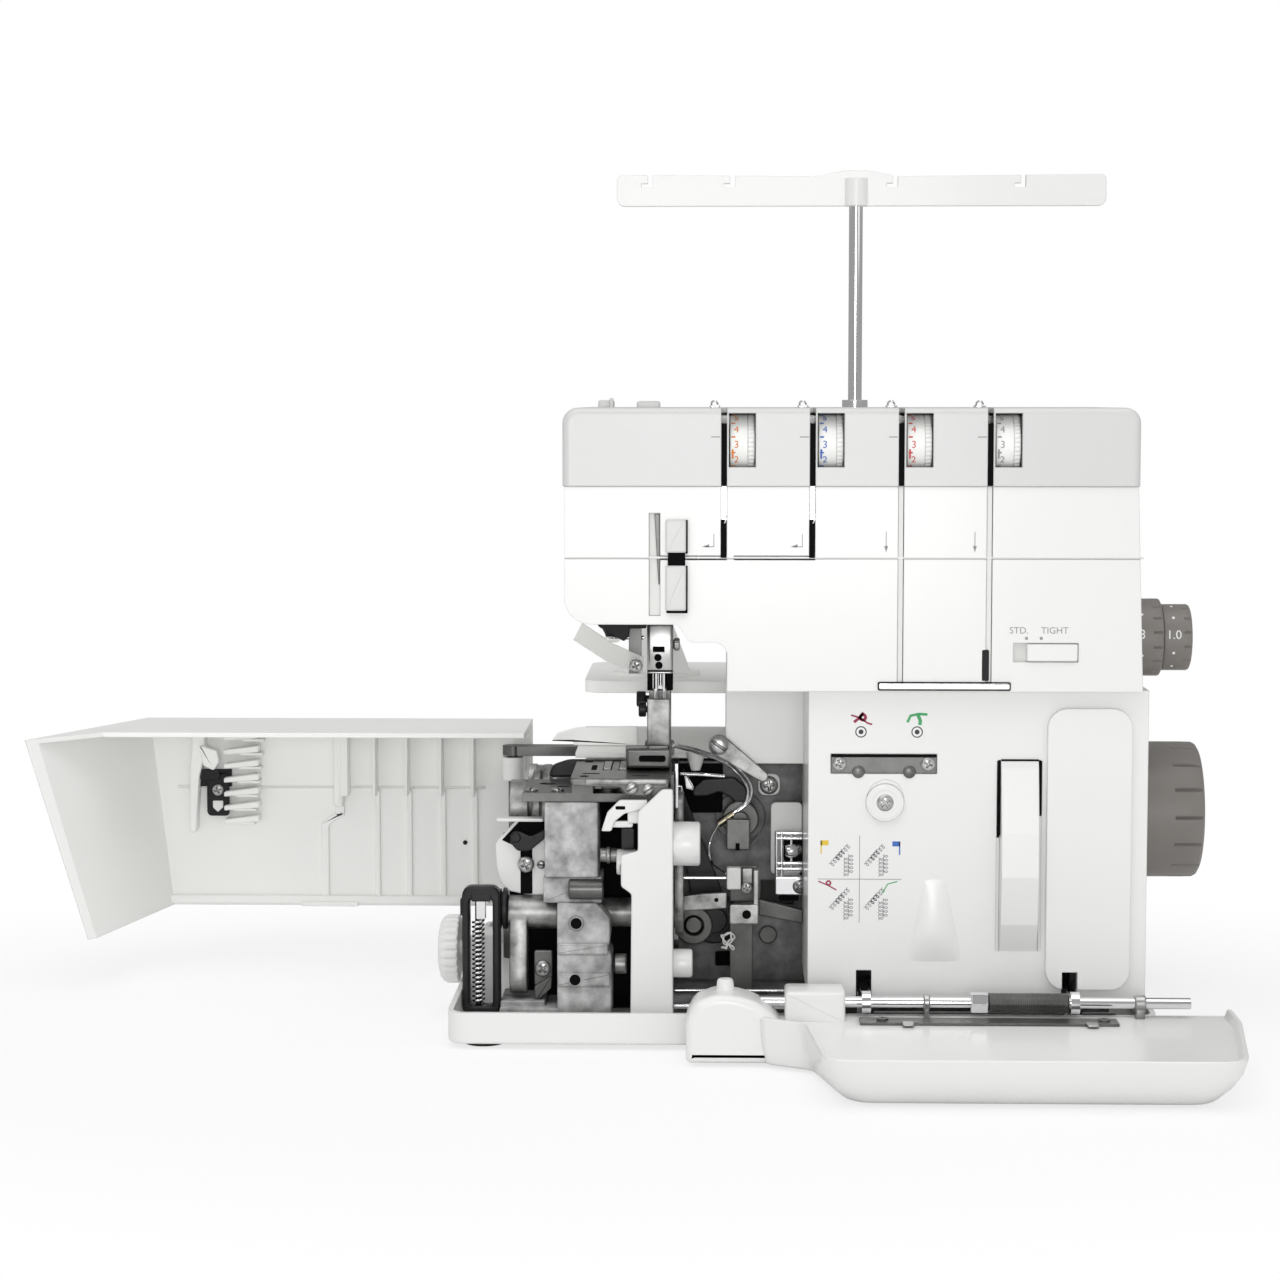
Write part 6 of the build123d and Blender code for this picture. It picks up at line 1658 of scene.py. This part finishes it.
@dataclass
class FrontCover:
    """The folded-down front cover with its round lobe, and the sprung hinge that carries it."""

    bottom: float = 1.5
    top: float = 23
    rear_top: float = 19.4
    wall: float = 2.5
    hinge: Pair = (-14, 26)
    rear: float = -8
    corners: tuple[Triple, ...] = (
        (-15, -116.8, 12), (160, -116.8, 12), (171, -36, 4), (171, -8, 4),
        (-40, -8, 3), (-40, -36, 3), (-21, -46, 6))
    sole: tuple[Triple, ...] = (
        (-4, -104, 12), (149, -104, 12), (161, -36, 4), (161, -11, 4),
        (-38, -11, 3), (-38, -34, 3), (-18, -45, 6))

    def build(self, bench: Bench) -> None:
        """Makes the tray-shaped cover with its lobe, and the hinge's spring, collar and plate tabs."""
        outline, sole = (rounded([(x, y) for x, y, _ in corners], [radius for *_, radius in corners], 7)
                         for corners in (self.corners, self.sole))
        lobe = [(-73, 1.7), (-73, 21), (-69, 29), (-60, 32.6), (-50, 32), (-41, 29), (-33, 22.6),
                (-28, 14), (-28, 1.7)]
        parts = [self._tray(outline, sole), panel(lobe, (-33.5, -8.5), 3, 3.6),
                 lathe(Axis.Z, (-55.5, -19), [(29, 5.6), (31, 4.6), (33.6, 3.9), (36.2, 3.6), (37.2, 3),
                        (37.6, 0.4)]), tile((-29, -2.2), (18, 33), (-26, -7), 2, 1.4)]
        bench.on("front_cover", "front_cover_tray", parts, Dress.SHELL, True)
        sheet = plate(Axis.Z, inset_outline(outline, self.wall + 0.2), (17, 19.4), 0.5)
        bench.on("front_cover_liner", "liner_sheet", sheet, Dress.SHELL, True)
        knuckles = [bar(Axis.X, span, self.hinge, 3.8, 0.6) for span in ((33, 36), (127, 132))]
        knuckles += [shelf(span, (-17, -11), (19, 26), 1) for span in ((33.4, 35.6), (127.4, 131.6))]
        bench.on("front_cover_liner", "hinge_knuckles", knuckles, Dress.STEEL)
        bench.on("front_hinge", "hinge_shaft_left", bar(Axis.X, (-42, -3.8), self.hinge, 2.4), Dress.PLATED)
        bench.on("hinge_spring", "hinge_collar",
                 lathe(Axis.X, self.hinge, [(54, 2.6), (54, 4.2), (54.5, 4.9), (61.5, 4.9), (62, 4.2),
                        (62, 2.6)], 6), Dress.PLATED, True)
        winding = [coil(Axis.X, self.hinge, (62, 97.9), 3.9, 42, 0.45),
                   bar(Axis.X, (62, 97.9), self.hinge, 3.7)]
        bench.on("hinge_spring", "hinge_winding", winding, Dress.SMOKED)
        strip = [tile((11, 96.6), (19.6, 20.8), (-9.8, -8.6), 0.4, 0.3),
                 tile((104.4, 119.5), (19.6, 20.8), (-9.8, -8.6), 0.4, 0.3)]
        bench.on("hinge_plate", "hinge_back_strip", strip, Dress.SMOKED)
        tabs = [shelf((x, x + 5), (-38, -31), (20, 21), 0.8) for x in (22.5, 103.5)]
        bench.on("hinge_plate", "hinge_plate_tabs", tabs, Dress.STEEL)

    def _tray(self, outline: Array, sole: Array) -> Form:
        """Carries the outline down the outside, round the rim and over the inside floor.

        A row's outline lies between the rim's and the sole's by its share, then goes inwards by its inset.
        The rim is lower where the outline is near the rear, so that the hinge passes above it.

        Args:
            outline: the rim's outline.
            sole: the floor's outline, point for point.

        Returns:
            The closed form.
        """
        rows = [(self.bottom, 1, 2), (self.bottom + 0.5, 1, 0.7), (self.bottom + 1.8, 0.92, 0),
                (self.bottom + 7, 0.52, 0), (self.bottom + 14, 0.16, 0), (self.top - 0.6, 0, 0),
                (self.top, 0, 0.6), (self.top, 0, self.wall - 0.4), (self.top - 0.6, 0, self.wall),
                (self.bottom + 7, 0.52, self.wall), (self.bottom + self.wall, 0.9, self.wall)]
        rim = np.where(outline[:, 1] > self.rear - 3.5, self.rear_top, self.top)
        grid = np.empty((len(rows), len(outline), 3))
        for row, (height, share, inset) in enumerate(rows):
            grid[row, :, :2] = inset_outline(outline * (1 - share) + sole * share, inset)
            grid[row, :, 2] = np.minimum(height, rim - (self.top - height if height > self.top - 1 else 0))
        return grid_form(grid, ring=True, capped=True)


@dataclass
class SideCover:
    """Ridges, seam, brackets and lock details on the side cover's inner face."""

    ribs: tuple[float, ...] = (-241, -224, -206, -189)
    face: float = 229.5
    wall_z: Pair = (27, 88)

    def build(self, bench: Bench) -> None:
        """Makes the ridges, the brackets round the lock, and the lock's screw and arrow."""
        face = self.face
        low, high = self.wall_z
        pieces = [tile((x, x + 3), (low, high), (face - 1.7, face + 0.4), 1, 0.7) for x in self.ribs]
        pieces += [tile((-262, -257), (80, 122), (face - 9, face + 0.4), 1.6, 1.2),
                   panel([(-262, 76), (-257, 76), (-265.4, 69), (-265.4, low), (-269.6, low), (-269.6, 70.6)],
                         (face - 1.7, face + 0.4), 1.2, 0.7),
                   tile((-262, -257), (74, 80.4), (face - 1.7, face + 0.4), 1, 0.7),
                   panel([(-330, 122), (-330, 108), (-333, 96), (-335, 66), (-338.6, 66), (-338, 100),
                          (-336, 122)], (face - 9, face + 0.4), 1.6, 1),
                   panel([(-332.4, 113), (-323, 110), (-322, 104), (-325, 99.5), (-330.4, 102)],
                         (face - 12, face - 6), 1.2, 0.8),
                   tile((-346, -182), (88.6, 90.2), (face - 0.5, face + 0.4), 0.4, 0.4),
                   tile((-352, -180), (low, low + 4.6), (face - 2.6, face + 0.4), 1.2, 0.8)]
        pieces += [panel([(-320, 70.5 + rise), (-301.4, 72 + rise), (-301.4, 75.4 + rise), (-320, 73 + rise)],
                         (face - 9, face + 0.4), 0.7, 0.5) for rise in (0, 7.4, 14.8, 22.2, 29.6, 37, 44.4)]
        # the ridges take the lightened white moulding: painted light on the side cover's shaded face
        bench.on("side_cover", "side_cover_ridges", pieces, Dress.PALE)
        spots = [on_front(disc(1.2, 0.6), (-193, 60), face - 0.2)]
        bench.on("side_cover", "side_cover_stop", spots, Dress.BLACK)
        lock = [panel([(-338, 98.6), (-336.4, 94.6), (-323.6, 93.6), (-322, 97), (-326, 99.6)],
                      (face - 6.6, face - 3.4), 1, 0.5),
                tile((-329.6, -318), (74.4, 97), (face - 4.6, face - 2.8), 2.4, 0.6)]
        bench.on("side_cover_latch", "lock_plate", lock, Dress.BLACK)
        bench.on("side_cover_latch", "lock_screw", cross((-323.8, 88.4), face - 4.6, 3, 20), Dress.STEEL)
        arrow = panel([(-326.6, 82.6), (-321.2, 82.6), (-321.2, 79), (-324, 76.6), (-326.6, 79)],
                      (face - 5, face - 4.4), 0.5, 0.1)
        bench.on("side_cover_latch", "lock_arrow", arrow, Dress.SHELL)


@dataclass
class Studio:
    """Floor, backdrop, lamps and camera: lengths in metres, powers in watts, angles in degrees."""

    floor_reach: float = 6.0
    camera_spot: Triple = (-0.060, -1.300, 0.294)
    camera_yaw: float = 1.5
    camera_pitch: float = -4.7
    lens: float = 81.8
    floor_lift: float = 0.74
    floor_middle: Triple = (-0.09, 0.06, 0.0)
    floor_half: Triple = (0.34, 0.26, 1.0)
    world_level: float = 0.52
    mirror_level: float = 0.38
    paper: Triple = (0.93, 0.93, 0.93)
    floor_fade: Pair = (0.9, 1.7)
    lamp_aim: Triple = (0.0, 0.0, 0.2)
    lamps: tuple[tuple[str, Triple, float, float], ...] = (
        ("key", (-1.1, -1.5, 1.9), 9.0, 1.5), ("fill", (1.6, -1.3, 1.2), 5.0, 1.6),
        ("top", (-0.1, -0.5, 2.4), 19.0, 2.0), ("front", (-0.05, -2.2, 0.33), 9.5, 0.6))

    def build(self) -> None:
        """Makes the floor, the world, the lamps and the camera."""
        self._floor()
        self._world()
        for name, spot, power, size in self.lamps:
            self._lamp(name, spot, power, size)
        self._camera()
        bpy.context.scene.view_settings.view_transform = "Standard"

    def _floor(self) -> None:
        """Makes a flat floor that shows white where no shadow falls."""
        reach = self.floor_reach
        mesh = bpy.data.meshes.new("floor")
        mesh.from_pydata([(-reach, -reach, 0), (reach, -reach, 0), (reach, reach, 0), (-reach, reach, 0)],
                         [], [(0, 1, 2, 3)])
        floor = bpy.data.objects.new("floor", mesh)
        bpy.context.scene.collection.objects.link(floor)
        material = bpy.data.materials.new("floor_paper")
        material.use_nodes = True
        tree = material.node_tree
        tree.nodes.clear()
        out = tree.nodes.new("ShaderNodeOutputMaterial")
        matt = tree.nodes.new("ShaderNodeBsdfDiffuse")
        matt.inputs["Color"].default_value = self.paper + (1.0,)
        light = tree.nodes.new("ShaderNodeEmission")
        light.inputs["Strength"].default_value = 1.0
        mix = tree.nodes.new("ShaderNodeMixShader")
        seen = self._seen(tree, ("Is Camera Ray", "Is Transmission Ray"), 1.0)
        share = tree.nodes.new("ShaderNodeMath")
        share.operation = "MULTIPLY"
        tree.links.new(seen, share.inputs[0])
        tree.links.new(self._away(tree), share.inputs[1])
        tree.links.new(share.outputs["Value"], mix.inputs["Fac"])
        tree.links.new(matt.outputs["BSDF"], mix.inputs[1])
        tree.links.new(light.outputs["Emission"], mix.inputs[2])
        tree.links.new(mix.outputs["Shader"], out.inputs["Surface"])
        floor.data.materials.append(material)

    def _away(self, tree: bpy.types.NodeTree) -> bpy.types.NodeSocket:
        """Gives the floor's own light: the least near the machine, and one from its reach outwards.

        The distance is measured from the machine's middle, in shares of its half length and half depth.

        Args:
            tree: the floor's nodes.

        Returns:
            The light's share.
        """
        where = tree.nodes.new("ShaderNodeTexCoord")
        shares = tree.nodes.new("ShaderNodeMapping")
        shares.vector_type = "TEXTURE"
        shares.inputs["Location"].default_value = self.floor_middle
        shares.inputs["Scale"].default_value = self.floor_half
        tree.links.new(where.outputs["Object"], shares.inputs["Vector"])
        length = tree.nodes.new("ShaderNodeVectorMath")
        length.operation = "LENGTH"
        tree.links.new(shares.outputs["Vector"], length.inputs[0])
        ramp = tree.nodes.new("ShaderNodeMapRange")
        ramp.interpolation_type = "SMOOTHSTEP"
        ramp.inputs["From Min"].default_value = self.floor_fade[0]
        ramp.inputs["From Max"].default_value = self.floor_fade[1]
        ramp.inputs["To Min"].default_value = self.floor_lift
        ramp.inputs["To Max"].default_value = 1.0
        tree.links.new(length.outputs["Value"], ramp.inputs["Value"])
        return ramp.outputs["Result"]

    @staticmethod
    def _seen(tree: bpy.types.NodeTree, kinds: tuple[str, ...], share: float) -> bpy.types.NodeSocket:
        """Gives a share of one to the named kinds of rays, and nothing to any other.

        Args:
            tree: the nodes to add to.
            kinds: the kinds of rays that get the share.
            share: what they get.

        Returns:
            The socket that gives it.
        """
        path = tree.nodes.new("ShaderNodeLightPath")
        total = path.outputs[kinds[0]]
        for kind in kinds[1:]:
            most = tree.nodes.new("ShaderNodeMath")
            most.operation = "MAXIMUM"
            tree.links.new(total, most.inputs[0])
            tree.links.new(path.outputs[kind], most.inputs[1])
            total = most.outputs["Value"]
        scaled = tree.nodes.new("ShaderNodeMath")
        scaled.operation = "MULTIPLY"
        scaled.inputs[1].default_value = share
        tree.links.new(total, scaled.inputs[0])
        return scaled.outputs["Value"]

    def _world(self) -> None:
        """Makes an even sky, white where it is seen, and softer where it lights or is mirrored."""
        world = bpy.data.worlds.new("sky")
        bpy.context.scene.world = world
        world.use_nodes = True
        tree = world.node_tree
        background = tree.nodes["Background"]
        background.inputs["Color"].default_value = (1.0, 1.0, 1.0, 1.0)
        level = tree.nodes.new("ShaderNodeMath")
        level.operation = "ADD"
        level.inputs[1].default_value = self.world_level
        tree.links.new(self._seen(tree, ("Is Camera Ray", "Is Transmission Ray"), 1.0 - self.world_level),
                       level.inputs[0])
        mirrored = tree.nodes.new("ShaderNodeMath")
        mirrored.operation = "ADD"
        tree.links.new(level.outputs["Value"], mirrored.inputs[0])
        tree.links.new(self._seen(tree, ("Is Glossy Ray",), self.mirror_level - self.world_level),
                       mirrored.inputs[1])
        tree.links.new(mirrored.outputs["Value"], background.inputs["Strength"])

    def _lamp(self, name: str, spot: Triple, power: float, size: float) -> None:
        """Adds a soft square lamp that faces the machine's middle.

        Args:
            name: the lamp's name.
            spot: where it hangs.
            power: its power.
            size: its side.
        """
        lamp = bpy.data.lights.new(name, "AREA")
        lamp.energy = power
        lamp.size = size
        holder = bpy.data.objects.new(name, lamp)
        bpy.context.scene.collection.objects.link(holder)
        holder.location = spot
        aim = np.array(self.lamp_aim) - np.array(spot)
        yaw = math.atan2(aim[0], -aim[1])
        pitch = math.atan2(math.hypot(aim[0], aim[1]), -aim[2])
        holder.rotation_euler = (pitch, 0.0, yaw + math.pi)

    def _camera(self) -> None:
        """Sets the camera at the machine's usual viewing angle."""
        lens = bpy.data.cameras.new("camera")
        lens.lens = self.lens
        camera = bpy.data.objects.new("camera", lens)
        bpy.context.scene.collection.objects.link(camera)
        camera.location = self.camera_spot
        camera.rotation_euler = (math.radians(90.0 + self.camera_pitch), 0.0, math.radians(self.camera_yaw))
        bpy.context.scene.camera = camera


def main() -> None:
    """Builds the classes in order and reports each piece."""
    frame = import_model()
    slots = {part["node"]: part["material_slot"] for part in frame["record"]["subparts"]}
    carried = frame["record"]["behaviour"]["bodies"]
    bench = Bench(slots, {node: body for body, nodes in carried.items() for node in nodes})
    Frame(frame["nodes"]).dress()
    for assembly in (TensionDials(), SideDials(), HandWheel(), NeedleHead(), ThreadPaths(), Slider(),
                     HousingFront(), KnifeSide(), Partition(), SpringFrame(), LooperBay(), FrontCover(),
                     SideCover()):
        assembly.build(bench)
    Studio().build()


if __name__ == "__main__":
    main()
